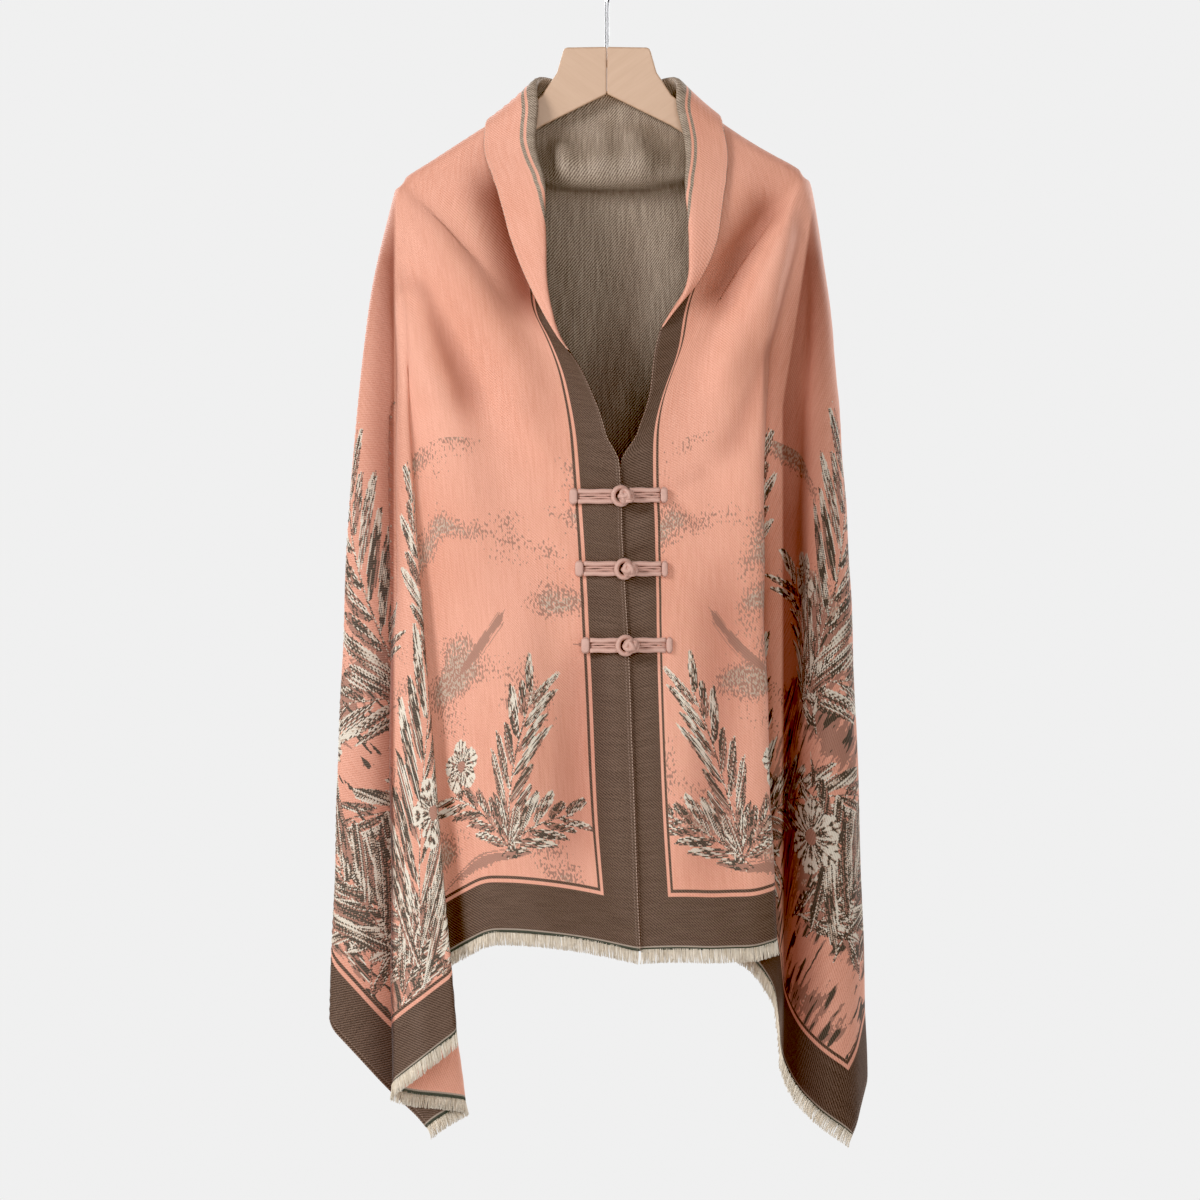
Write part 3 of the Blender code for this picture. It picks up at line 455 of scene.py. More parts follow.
def grid_rows(along):
    """Flat distances from the neck edge, for each column: rows bunch up at the roll line."""
    turn = np.maximum(collar_width(along), LEAST_FLAP)[:, None]
    flap = turn * np.array(FLAP_SHARES)
    bend = turn + np.array(BEND_STEPS)
    shares = np.linspace(0, 1, BODY_ROWS)
    body = turn + BODY_STARTS + (WIDTH - turn - BODY_STARTS) * shares
    return np.concatenate([flap, bend, body], 1)


def cloth_grid():
    """Flat coordinates and hung points of the whole cloth with its creases, and the painted shade of each
    skin from how deep its hollows are: those of the fronts on the face, those of the back on the reverse."""
    along = np.linspace(-HALF_LENGTH, HALF_LENGTH, COLUMNS)
    down = grid_rows(along)
    along = np.repeat(along[:, None], down.shape[1], 1)
    points = cloth(along, down)
    normal = grid_normals(points)
    lift, outside = np.zeros(along.shape), np.zeros(along.shape)
    for crease in CREASES:
        bell = bell_along(points, crease.line, crease.width)
        raised = crease.height / 1000 * bell * face_mask(points, normal, along, down, crease.face)
        lift += raised
        outside += raised * (crease.face != "back")
    # Painted shade: the fronts' sunk creases darken the face, and the back's creases darken the reverse.
    depth = np.stack([-outside, lift - outside]) / PAINTED_SHADE_FULL_DEPTH
    ripple = np.sin(along * 41 + np.sin(down * 17) * 2) * np.sin(down * 27 + along * 9)
    lift += RIPPLE * ripple * smooth((down - 0.07) / 0.05)
    points = points + normal * lift[..., None]
    close = np.interp(-points[..., 2], SEAM_HEIGHTS, SEAM_SHIFTS) * smooth(1 - down / 0.03)
    points[..., 0] -= np.sign(along) * close
    points[..., 1] += np.sign(along) * SEAM_STEP * smooth(close / 0.001)
    return along, down, points, depth


def grid_normals(points):
    """Unit normals of a grid from its own differences."""
    return unit(np.cross(np.gradient(points, axis=0), np.gradient(points, axis=1)))


def linked(name, data):
    """An object of that mesh, light or camera, in the scene."""
    obj = bpy.data.objects.new(name, data)
    bpy.context.scene.collection.objects.link(obj)
    return obj


def make_object(name, points, faces, uv=None, slots=()):
    """A smooth mesh object. uv is a pair for each point; slots is a material index for each face."""
    mesh = bpy.data.meshes.new(name)
    points = np.asarray(points, float).reshape(-1, 3).tolist()
    mesh.from_pydata(points, [], [tuple(map(int, face)) for face in faces])
    if uv is not None:
        corner = np.empty(len(mesh.loops), np.int32)
        mesh.loops.foreach_get("vertex_index", corner)
        layer = mesh.uv_layers.new(name="flat")
        layer.data.foreach_set("uv", np.asarray(uv, np.float32)[corner].ravel())
    if len(slots):
        mesh.polygons.foreach_set("material_index", np.asarray(slots, np.int32))
    mesh.shade_smooth()
    mesh.update()
    return linked(name, mesh)


def quads(columns, rows, start=0):
    """Corner numbers of a grid's faces, points stored column by column."""
    c, r = np.meshgrid(np.arange(columns - 1), np.arange(rows - 1), indexing="ij")
    first = (c * rows + r).ravel() + start
    return np.stack([first, first + rows, first + rows + 1, first + 1], 1)


along, down, middle, depth = cloth_grid()
columns, rows = along.shape
count = columns * rows
thick = grid_normals(middle) * THICKNESS / 2
face_quads = quads(columns, rows)
back_quads = quads(columns, rows, count)[:, ::-1]
ring = np.concatenate([
    np.arange(columns) * rows,
    (columns - 1) * rows + np.arange(1, rows),
    (np.arange(columns - 1)[::-1]) * rows + rows - 1,
    np.arange(1, rows - 1)[::-1],
])
ahead = np.roll(ring, -1)
rim_quads = np.stack([ahead, ring, ring + count, ahead + count], 1)
flat_uv = np.stack([along.ravel(), down.ravel()], 1)
shawl = make_object(
    "shawl_cloth",
    np.stack([middle + thick, middle - thick]),
    np.vstack([face_quads, back_quads, rim_quads]),
    uv=np.vstack([flat_uv, flat_uv]),
    slots=[0] * len(face_quads) + [1] * len(back_quads) + [2] * len(rim_quads),
)
# Painted shade in the creases, stored on each point, by which the cloth's colour is darkened.
painted_fold_shade = shawl.data.attributes.new("painted_fold_shade", "FLOAT", "POINT")
painted_fold_shade.data.foreach_set("value", np.clip(depth.ravel(), 0, 1).astype(np.float32))
print("cloth:", count, "points,", 2 * len(shawl.data.polygons), "triangles")

# %% [markdown]
# ## Shader maths that reads like maths
#
# A weave is a formula, not a picture. Wiring forty Math nodes by hand is slow and hard to read, so
# we wrap a node's output in a small class whose + - * / add the nodes for us.

# %%
def feed(value, socket):
    """Links a Value to a socket, or writes a plain number or colour into it."""
    if isinstance(value, Value):
        value.tree.links.new(value.socket, socket)
    else:
        socket.default_value = value


def method(operation):
    """A method of Value that adds one Math node."""
    return lambda value, *others: value.maths(operation, *others)


class Value:
    """A number inside a shader. Arithmetic on it adds Math nodes to the material's tree."""

    def __init__(self, tree, socket):
        self.tree = tree
        self.socket = socket

    def maths(self, operation, *others):
        node = self.tree.nodes.new("ShaderNodeMath")
        node.operation = operation
        for place, item in enumerate((self,) + others):
            feed(item, node.inputs[place])
        return Value(self.tree, node.outputs[0])

    __add__ = __radd__ = method("ADD")
    __mul__ = __rmul__ = method("MULTIPLY")
    __sub__ = method("SUBTRACT")
    __truediv__ = method("DIVIDE")
    times_plus = method("MULTIPLY_ADD")
    size, sign, floor, sine = map(method, ("ABSOLUTE", "SIGN", "FLOOR", "SINE"))
    least, most, stepped = map(method, ("MINIMUM", "MAXIMUM", "SNAP"))

    def __rsub__(self, other):
        return self.times_plus(-1.0, other)

    def above(self, edge, soft=0.0):
        """1 where this is above edge, 0 below, over a soft step if soft is given."""
        if not soft:
            return self.maths("GREATER_THAN", edge)
        return ((self - edge) / soft + 0.5).held()

    def below(self, edge, soft=0.0):
        return 1 - self.above(edge, soft)

    def held(self):
        """Clamped between 0 and 1."""
        result = self + 0.0
        result.socket.node.use_clamp = True
        return result

    def wave(self, period):
        """A sine from 0 to 1 with that period."""
        return self.times_plus(2 * math.pi / period, 0.0).sine().times_plus(0.5, 0.5)

    def output(self, place):
        """Another output of the same node."""
        return Value(self.tree, self.socket.node.outputs[place])


class Graph:
    """A node tree and the few kinds of node that the recipes need."""

    def __init__(self, tree):
        self.tree = tree

    def node(self, kind, inputs=None, output=0, **settings):
        """Any other node: its settings by name, its inputs, and one of its outputs."""
        made = self.tree.nodes.new("ShaderNode" + kind)
        for key, value in settings.items():
            setattr(made, key, value)
        for key, value in (inputs or {}).items():
            feed(value, made.inputs[key])
        return Value(self.tree, made.outputs[output])

    def streaks(self, w, detail):
        """Noise along a line: cheap, and it gives brushed streaks when w runs across a mark."""
        inputs = {"W": w, "Scale": 1.0, "Detail": detail}
        return self.node("TexNoise", inputs, noise_dimensions="1D")

    def mix(self, share, first, second, blend="MIX"):
        """Colour first where share is 0, second where it is 1."""
        return self.node("Mix", {0: share, 6: first, 7: second}, 2, data_type="RGBA", blend_type=blend)


class Recipe(Graph):
    """A node group: the formula of one kind of mark, written once and used many times."""

    def __init__(self, name, inputs):
        super().__init__(bpy.data.node_groups.new(name, "ShaderNodeTree"))
        for in_out, items in (("INPUT", inputs), ("OUTPUT", ("mask", "tone"))):
            for item in items:
                self.tree.interface.new_socket(item, in_out=in_out, socket_type="NodeSocketFloat")
        given = self.tree.nodes.new("NodeGroupInput")
        self.given = [Value(self.tree, given.outputs[item]) for item in inputs]

    def returns(self, mask, tone):
        result = self.tree.nodes.new("NodeGroupOutput")
        feed(mask, result.inputs["mask"])
        feed(tone, result.inputs["tone"])
        return self

    def use(self, graph, inputs):
        """The group as a node of another tree: its mask and its tone."""
        mask = graph.node("Group", inputs, node_tree=self.tree)
        return mask, mask.output(1)


class Shader(Graph):
    """A material with its principled shader."""

    def __init__(self, name, **settings):
        self.material = bpy.data.materials.new(name)
        self.material.use_nodes = True
        super().__init__(self.material.node_tree)
        for key, value in settings.items():
            self.give(key.replace("_", " ").title().replace("Ior", "IOR"), value)

    def give(self, name, value):
        """Sets one input of the principled shader to a number, a colour or a Value."""
        feed(value, self.tree.nodes["Principled BSDF"].inputs[name])

    def place(self):
        """Object coordinates."""
        return self.node("TexCoord", output=3)

    def axes(self, vector):
        """The three numbers of a vector."""
        x = self.node("SeparateXYZ", {0: vector})
        return x, x.output(1), x.output(2)

    def flat(self):
        """The flat cloth coordinates, along and down, in metres."""
        return self.axes(self.node("UVMap", uv_map="flat"))[:2]

    def noise(self, vector, scale, detail):
        return self.node("TexNoise", {"Vector": vector, "Scale": scale, "Detail": detail})

    def stretched_noise(self, vector, scale, detail):
        """Noise with a number of grains to the metre for each axis."""
        scaled = self.node("Mapping", {"Vector": vector, "Scale": scale})
        return self.noise(scaled, 1.0, detail)

    def flat_noise(self, along_scale, down_scale, detail):
        """Noise over the flat cloth, with so many grains to the metre each way."""
        spot = self.node("UVMap", uv_map="flat")
        return self.stretched_noise(spot, (along_scale, down_scale, 1), detail)

    def bump(self, height, distance, strength):
        made = self.node("Bump", {"Height": height, "Distance": distance, "Strength": strength})
        self.give("Normal", made)


def rgb(red, green, blue):
    return (red, green, blue, 1.0)


# %% [markdown]
# ## The weave
#
# A jacquard double cloth shows one yarn on its face and hides the other behind it, so wherever
# the face is salmon the reverse is taupe. We work out one mask, 'which yarn is in front', and use
# it both ways round. The border is a distance from the edges, so its corners mitre by themselves.
#
# The pattern is fronds and blossoms in the four colours of the real cloth's pattern. A frond is a
# node group: one formula, used once for each row of a table. Coordinates are rounded to whole
# threads first, which gives every edge the small steps that a loom leaves.

# %%
SALMON = rgb(0.810, 0.415, 0.308)
SALMON_SHADE = rgb(0.650, 0.280, 0.188)
TAUPE = rgb(0.056, 0.034, 0.024)
TAUPE_LIGHT = rgb(0.205, 0.132, 0.096)
INSIDE_DARK = rgb(0.140, 0.100, 0.074)
INSIDE_LIGHT = rgb(0.520, 0.415, 0.325)
OLIVE = rgb(0.052, 0.041, 0.031)
CREAM = rgb(0.78, 0.71, 0.60)
ROSE = rgb(0.40, 0.195, 0.145)
MIST = rgb(0.53, 0.40, 0.31)
EDGE_LINE = rgb(0.085, 0.090, 0.068)
EDGE_PALE = rgb(0.40, 0.32, 0.26)
SELVAGE = rgb(0.50, 0.36, 0.29)
# The colour that the cloth's colour is multiplied toward in creases and beside the front panels: painted
# shade.
PAINTED_SHADE_TINT = rgb(0.34, 0.21, 0.18)
RIM_DARK, RIM_PALE = rgb(0.17, 0.085, 0.062), rgb(0.36, 0.235, 0.185)

LONG_BAND, SHORT_BAND = 0.0355, 0.046
PALE_STRIPE, DARK_STRIPE = 0.0034, 0.0028
TWILL = 0.0026
THREAD = 0.0011
SOFT_EDGE = 0.0006
DASH = 0.0030
MIST_FROM, BRUSHED_FROM = 0.61, 0.605
TONE_OLIVE, TONE_MIST, TONE_CREAM = 0.430, 0.545, 0.585
# Where the cloth steps back beside the front panels, across and up, in metres; painted shade darkens it
# there.
LEFT_STEP, RIGHT_STEP = 0.2010, 0.1660
RIGHT_STEP_FOOT, RIGHT_STEP_SLOPE = 0.44, 0.155

Frond = namedtuple("Frond", "along down turn length bend leaf pitch fan")
# One row for each frond: where its stem starts in the flat half, which way it points in degrees
# from straight up the front, its length, how much it curves, and its leaves: their length, their
# spacing and the angle at which they fan out.
FRONDS = table(
    Frond,
    (0.862, 0.150, 6, 0.165, 1.2, 0.064, 0.0240, 30),
    (0.860, 0.140, -40, 0.105, -2.0, 0.050, 0.0210, 34),
    (0.860, 0.160, 50, 0.105, 2.4, 0.048, 0.0210, 34),
    (0.886, 0.360, -48, 0.130, -2.2, 0.062, 0.0260, 32),
    (0.884, 0.405, -20, 0.260, -1.2, 0.086, 0.0300, 29),
    (0.884, 0.480, 46, 0.160, 1.6, 0.072, 0.0270, 32),
    (0.884, 0.440, 16, 0.320, 0.7, 0.104, 0.0340, 27),
    (0.805, 0.660, 34, 0.160, 2.0, 0.066, 0.0250, 34),
    (0.815, 0.560, -44, 0.150, 1.3, 0.066, 0.0260, 32),
    (0.812, 0.590, -14, 0.265, 1.0, 0.094, 0.0310, 28),
    (0.812, 0.625, 14, 0.280, -1.0, 0.094, 0.0320, 28),
    (0.655, 0.440, -38, 0.160, -1.4, 0.066, 0.0260, 32),
    (0.655, 0.500, 44, 0.140, 2.2, 0.060, 0.0240, 34),
    (0.655, 0.470, 4, 0.245, 1.1, 0.088, 0.0300, 28),
    (0.655, 0.300, -8, 0.165, 1.6, 0.056, 0.0230, 32),
    (0.620, 0.585, -24, 0.150, 1.4, 0.066, 0.0260, 32),
    (0.620, 0.635, 0, 0.220, 1.0, 0.082, 0.0290, 28),
)
Blossom = namedtuple("Blossom", "along down size petals")
BLOSSOMS = table(
    Blossom,
    (0.748, 0.365, 0.030, 5),
    (0.735, 0.545, 0.034, 6),
    (0.772, 0.205, 0.024, 5),
    (0.560, 0.400, 0.027, 5),
    (0.590, 0.560, 0.030, 6),
)
Stroke = namedtuple("Stroke", "along down turn length width bend")
STROKES = table(
    Stroke,
    (0.655, 0.060, 80, 0.150, 0.010, 1.4),
    (0.700, 0.215, 62, 0.130, 0.009, -1.6),
    (0.875, 0.250, 74, 0.120, 0.010, 1.2),
    (0.500, 0.520, 40, 0.140, 0.009, 1.0),
)


def border_depth(u, v):
    """How far inside the outer band a point lies, in metres; negative in the band."""
    long_side = v.least(WIDTH - v) - LONG_BAND
    short_side = (HALF_LENGTH - SHORT_BAND) - u.size()
    return long_side.least(short_side)


MARK = ("up", "across", "along", "down", "cos", "sin", "bend", "length")


def mark_inputs(up, across, row):
    """What each recipe needs: the flat place, and the mark's own place, turn, bend and length."""
    turn = math.radians(row.turn)
    values = (up, across, row.along, row.down, math.cos(turn), math.sin(turn), row.bend, row.length)
    return dict(zip(MARK, values))


def mark_axes(up, across, along, down, cos, sin, bend):
    """Coordinates along and across a mark that starts at (along, down), with its curve taken out."""
    ahead, over = along - up, down - across
    x = ahead * cos + over * sin
    return x, over * cos - ahead * sin - x * x * bend


def frond_recipe():
    """(mask, tone) of one frond: its leaves repeat along the stem, so one formula draws them all.

    t = (x - |y| / tan fan) / pitch counts the leaves, f = t - floor(t) - 1/2 runs across one, and
    s = |y| / (sin fan * leaf) runs from its stalk to its point. A leaf is |f| < 2 s (1 - s) * width.
    """
    recipe = Recipe("frond", MARK + ("pitch", "reach", "slant", "seed"))
    up, across, along, down, cos, sin, bend, length, pitch, reach, slant, seed = recipe.given
    x, y = mark_axes(up, across, along, down, cos, sin, bend)
    side, rise = y.sign(), y.size()
    t = (x - rise * slant) / pitch + side * 0.25
    count = length / pitch
    k = t.floor().most(-1.0).least(count)
    f = t - t.floor() - 0.5
    share = k / count
    chance = recipe.node("TexWhiteNoise", {"W": k * 3.1 + side + seed}, noise_dimensions="1D")
    s = rise / (reach * (chance * 0.55 + 0.70) * (1.0 - share * share * 0.55))
    seed = seed + k * 5.3 + side * 3.0
    tone = recipe.streaks(f * 9.0 + s * 1.1 + seed, 1.5) * 0.70
    tone = tone + recipe.streaks(s * 4.0 + seed, 0.0) * 0.30
    room = s * (1.0 - s) * 1.9 + tone * 0.3 - 0.15 - f.size()
    mask = room.above(0.0) * s.below(1.0) * t.above(0.0) * t.below(count)
    stem = rise.below(0.0009) * x.above(0.0) * x.below(length)
    return recipe.returns(mask.most(stem), tone + f * 0.16 + chance * 0.12 - 0.06)


def stroke_recipe():
    """(mask, tone) of a dry brush stroke: streaks along it, in an envelope with tapered ends."""
    recipe = Recipe("stroke", MARK + ("width", "seed"))
    up, across, along, down, cos, sin, bend, length, width, seed = recipe.given
    x, y = mark_axes(up, across, along, down, cos, sin, bend)
    share = x / length
    envelope = share * (1.0 - share) * 4.0
    dry = recipe.streaks(y * 620.0 + x * 20.0 + seed, 1.5) * 0.7
    dry = dry + recipe.streaks(x * 60.0 + seed, 1.0) * 0.3
    inside = (envelope - y.size() / width) * 0.5 + dry
    return recipe.returns(inside.above(0.70) * share.above(0.0) * share.below(1.0), dry)


def blossom_recipe():
    """(mask, tone) of an open flower: r < size (0.6 + 0.3 |sin(petals a / 2)|), petals streaked."""
    recipe = Recipe("blossom", ("up", "across", "along", "down", "size", "petals", "seed"))
    up, across, along, down, size, petals, seed = recipe.given
    du, dv = up - along, across - down
    angle = dv.maths("ARCTAN2", du)
    reach = (du * du + dv * dv).maths("SQRT") / size
    scallop = (angle * petals * 0.5).sine().size()
    fibre = recipe.streaks(angle * 6.0 + seed, 1.5) * 0.6
    fibre = fibre + recipe.streaks(reach * 5.0 + scallop * 2.0 + seed, 1.0) * 0.4
    mask = (scallop * 0.30 + fibre * 0.25 + 0.58 - reach).above(0.0)
    return recipe.returns(mask, fibre + reach * 0.12 - reach.below(0.22) * 0.4 + 0.01)


DRAWN_FROND, DRAWN_STROKE, DRAWN_BLOSSOM = frond_recipe(), stroke_recipe(), blossom_recipe()


def drawn_mark(shader, up, across, row, seed):
    """(mask, tone) of one row of the three tables."""
    if isinstance(row, Blossom):
        inputs = {"up": up, "across": across, "seed": seed, **row._asdict()}
        return DRAWN_BLOSSOM.use(shader, inputs)
    inputs = {"seed": seed, **mark_inputs(up, across, row)}
    if isinstance(row, Stroke):
        return DRAWN_STROKE.use(shader, {"width": row.width, **inputs})
    fan = math.radians(row.fan)
    leaf = {"pitch": row.pitch, "reach": row.leaf * math.sin(fan), "slant": 1 / math.tan(fan)}
    return DRAWN_FROND.use(shader, {**inputs, **leaf})


def topmost(masks):
    """The greatest of several masks."""
    found = masks[0]
    for mask in masks[1:]:
        found = found.most(mask)
    return found


def pattern(shader, u, v):
    """Colour of the woven fronds, blossoms and strokes, and where they are."""
    cloud = shader.flat_noise(15, 8, 2.0)
    speck = shader.flat_noise(300, 420, 0.0)
    up = u.size().stepped(THREAD)
    across = (v + u.above(0.0) * 0.024).stepped(THREAD)
    mist = (cloud + (speck - 0.5) * 0.30).above(MIST_FROM) * up.above(0.47) * up.below(0.88)
    wash = shader.flat_noise(26, 150, 2.0)
    low = across.above(0.42, 0.10) * up.above(0.56, 0.10) * up.below(0.905)
    brushed = (wash * 0.7 + cloud * 0.5 + (speck - 0.5) * 0.10).above(BRUSHED_FROM)
    brushed = brushed * (low + (cloud - 0.5) * 1.2).above(0.62)
    rows = STROKES + FRONDS + BLOSSOMS
    marks = [drawn_mark(shader, up, across, row, place * 7.7) for place, row in enumerate(rows)]
    soft = topmost([mask for mask, shade in marks[:len(STROKES)]])
    drawn = topmost([mask for mask, shade in marks[len(STROKES):]])
    tone = marks[len(STROKES)][1]
    for mask, shade in marks[len(STROKES) + 1:]:
        tone = tone + (shade - tone) * mask
    colour = shader.mix(speck.above(0.50), MIST, ROSE)
    colour = shader.mix(brushed, colour, shader.mix(wash.above(0.60), ROSE, OLIVE))
    colour = shader.mix(soft, colour, ROSE)
    inked = shader.mix(tone.above(TONE_OLIVE), ROSE, OLIVE)
    inked = shader.mix(tone.above(TONE_MIST), inked, MIST)
    inked = shader.mix(tone.above(TONE_CREAM), inked, CREAM)
    return shader.mix(drawn, colour, inked), topmost([mist, soft, brushed, drawn])


def painted_shade_at_panel_steps(shader):
    """Painted shade on the side cloth where it goes in behind the front panels: darkest at the step."""
    x, y, z = shader.axes(shader.place())
    left = x * -1.0 - LEFT_STEP
    right = x - ((z + RIGHT_STEP_FOOT) * RIGHT_STEP_SLOPE).held() - RIGHT_STEP
    in_front = y.below(-0.004, 0.02) * z.below(-0.25, 0.10)
    shades = [
        away.above(0.001, 0.003) * (0.95 - ((away - 0.014) * 32.0).held() * 0.75)
        for away in (left, right)
    ]
    return topmost(shades) * in_front


def cloth_material(name, swapped):
    """Face or reverse of the shawl: the same masks with the two yarns changed over."""
    look = {"sheen_weight": 0.08, "sheen_roughness": 0.5, "specular_ior_level": 0.45}
    shader = Shader(name, roughness=0.58, **look)
    fibre = shader.flat_noise(900, 900, 1.0)
    streak = shader.flat_noise(520, 30, 1.0)
    slub = shader.flat_noise(34, 420, 1.0)
    cloudy = shader.flat_noise(7, 7, 0.0)
    u, v = shader.flat()
    twill = (u + v * (0.75 if swapped else -0.75)).wave(TWILL)
    weave = twill * 0.5 + fibre * 0.5
    hairs = (fibre - 0.5) * 1.6
    pale = (twill * 0.45 + hairs + (slub + cloudy - 1.0) * 0.9 + 0.42).held()
    salmon = shader.mix(pale, SALMON_SHADE, SALMON)
    thread = (twill * 0.75 + hairs + (streak - 0.5) * (0.8 if swapped else 0.5) + 0.10).held()
    depth = border_depth(u, v)
    field = depth.above(PALE_STRIPE + DARK_STRIPE, SOFT_EDGE)
    line = depth.above(PALE_STRIPE, SOFT_EDGE) * (1 - field)
    dark = depth.below(0.0, SOFT_EDGE).most(line)
    # Painted shade in the creases, read from the mesh's point attribute.
    shade = shader.node("Attribute", attribute_name="painted_fold_shade", output=2)
    if swapped:
        front, behind = shader.mix(thread, INSIDE_DARK, INSIDE_LIGHT), salmon
    else:
        drawing, covered = pattern(shader, u, v)
        drawing = shader.mix(weave * 0.25, drawing, MIST)
        front = shader.mix(covered * field, salmon, drawing)
        behind = shader.mix(thread, TAUPE, TAUPE_LIGHT)
        # On the face, painted shade also where the side cloth goes in behind the front panels.
        shade = shade.most(painted_shade_at_panel_steps(shader))
    colour = shader.mix(dark, front, behind)
    end = HALF_LENGTH - u.size()
    colour = shader.mix(end.below(0.0036, 0.0005), colour, EDGE_PALE)
    colour = shader.mix(end.below(0.0023, 0.0005), colour, EDGE_LINE)
    edge = v.least(WIDTH - v)
    dash = u.wave(DASH)
    outer = edge.below(0.0009, 0.0004) * dash.above(0.40, 0.3) * 0.75
    inner = edge.below(0.0038, 0.0004) * edge.above(0.0031, 0.0004) * dash.above(0.5, 0.3) * 0.35
    colour = shader.mix(outer.most(inner), colour, SELVAGE)
    # Painted shade: the colour is multiplied toward the shade tint in the creases and at the panel steps.
    shader.give("Base Color", shader.mix(shade.held(), colour, PAINTED_SHADE_TINT, "MULTIPLY"))
    shader.bump(weave * 0.7 + cloudy * 0.3, 0.0008, 0.80)
    return shader.material


shawl.data.materials.append(cloth_material("shawl_face", swapped=False))
shawl.data.materials.append(cloth_material("shawl_reverse", swapped=True))
rim = Shader("shawl_rim", roughness=0.9)
rim_along, _ = rim.flat()
rim_pale = rim.mix(rim_along.wave(DASH).above(0.50, 0.3), RIM_DARK, RIM_PALE)
rim_end = rim_along.size().above(HALF_LENGTH - 0.0015)
rim.give("Base Color", rim.mix(rim_end, rim_pale, EDGE_LINE))
shawl.data.materials.append(rim.material)
print("face material:", len(shawl.data.materials[0].node_tree.nodes), "nodes")

# %% [markdown]
# ## Fringe
#
# The short ends are finished with their own yarn ends. Each is a thin three-sided tube that leaves
# the cloth along its grain and turns down. Random lengths and leans come from one seeded
# generator, so the fringe is uneven but always the same.

# %%
STRAND_PITCH = 0.00062
STRAND_LENGTH = 0.0135
STRAND_RADIUS = 0.00070
STRAND_RINGS = 4
TUFT = 0.004


def ring_points(line, radius, over, lift, sides):
    """Points round a line, ring by ring: line + radius (over cos t + lift sin t)."""
    turn = np.linspace(0, 2 * math.pi, sides, endpoint=False)[None, :, None]
    round_it = np.cos(turn) * over[:, None] + np.sin(turn) * lift[:, None]
    return (line[:, None] + radius * round_it).reshape(-1, 3)


def ring_faces(rings, sides, closed=False):
    """Faces of a tube stored ring by ring: its wall, and two ends if it isn't closed."""
    faces = []
    for ring in range(rings if closed else rings - 1):
        near, far = ring * sides, (ring + 1) % rings * sides
        corners = [(k, (k + 1) % sides) for k in range(sides)]
        faces += [(near + a, near + b, far + b, far + a) for a, b in corners]
    if not closed:
        faces.append(tuple(range(sides))[::-1])
        faces.append(tuple((rings - 1) * sides + k for k in range(sides)))
    return faces


def fringe(name, side, seed):
    """Yarn ends past one short edge, as one mesh."""
    chance = np.random.default_rng(seed)
    strands = int(WIDTH / STRAND_PITCH)
    down_at = (np.arange(strands) + 0.5) * STRAND_PITCH + chance.normal(0, 0.0003, strands)
    down_at = np.clip(down_at, 0.0008, WIDTH - 0.0008)
    root = cloth(side * (HALF_LENGTH - 0.001), down_at)
    grain = unit(root - cloth(side * (HALF_LENGTH - 0.012), down_at))
    face = outward(side * HALF_LENGTH, down_at)
    across = unit(np.cross(grain, face))
    length = STRAND_LENGTH * chance.uniform(0.94, 1.04, strands)
    tufts = chance.normal(0, 0.05, int(WIDTH / TUFT) + 2)
    lean = np.interp(down_at, np.arange(0, WIDTH + TUFT, TUFT), tufts)
    lean = lean + chance.normal(0, 0.05, strands)
    lift = chance.normal(0, 0.06, strands)
    fall = grain * 0.75 + np.array([0, 0, -0.35]) + across * lean[:, None] + face * lift[:, None]
    fall = unit(fall)
    root = root + face * chance.uniform(-0.0005, 0.0005, strands)[:, None]
    rings = []
    for share in np.linspace(0, 1, STRAND_RINGS):
        line = root + (grain * (1 - share) + fall * share) * (length * share)[:, None]
        radius = STRAND_RADIUS * (1.05 - 0.50 * share)
        rings.append(ring_points(line, radius, across, face, 3).reshape(strands, 3, 3))
    points = np.stack(rings, 1)
    one = ring_faces(STRAND_RINGS, 3)
    firsts = range(0, strands * STRAND_RINGS * 3, STRAND_RINGS * 3)
    faces = [[first + corner for corner in face] for first in firsts for face in one]
    tone = np.repeat(chance.uniform(0, 1, strands), STRAND_RINGS * 3)
    height = np.tile(np.repeat(np.linspace(0, 1, STRAND_RINGS), 3), strands)
    return make_object(name, points, faces, uv=np.stack([tone, height], 1))


yarn = Shader("fringe_yarn", roughness=0.9, sheen_weight=0.1)
yarn_tone, yarn_height = yarn.flat()
yarn_share = yarn_tone * 0.8 + yarn_height * 0.2
yarn.give("Base Color", yarn.mix(yarn_share, rgb(0.62, 0.52, 0.40), rgb(0.88, 0.80, 0.69)))
fringes = [fringe("fringe_yarn_left", -1, 5), fringe("fringe_yarn_right", 1, 6)]
for piece in fringes:
    piece.data.materials.append(yarn.material)
print("fringe:", sum(len(piece.data.polygons) for piece in fringes), "faces")

# %% [markdown]
# ## Frogs
#
# A frog is a doubled cord: four strands side by side on each front, a wrapped end, and a ball
# knot that a loop slips over. The ball is a Turk's head, a closed curve that winds three times
# round a sphere while it swings four times between its poles.

# %%
Frog = namedtuple("Frog", "name left_along right_along left_reach right_reach aside sink")
FROGS = table(
    Frog,
    ("upper", 0.4995, 0.506, 0.0465, 0.0510, 0.0030, 0.0010),
    ("middle", 0.573, 0.578, 0.0455, 0.0505, 0.0030, 0.0),
    ("lower", 0.650, 0.653, 0.0430, 0.0550, 0.0, 0.0),
)
KNOT_RADIUS = 0.0102
WALL, LAID_GAP = 0.0018, 0.0005
WRAP_LENGTH, WRAP_HEIGHT, WRAP_THICK = 0.0085, 0.0158, 0.0056
STRAP_RINGS, WRAP_RINGS, WRAP_SIDES, KNOT_RINGS = 14, 9, 28, 150
KNOT_WOUND, KNOT_CORD, KNOT_FILL, LOOP_CORD = 0.0078, 0.0023, 0.0056, 0.0024
KNOT_MOVES = (0.0032, -0.0020, -0.0004)
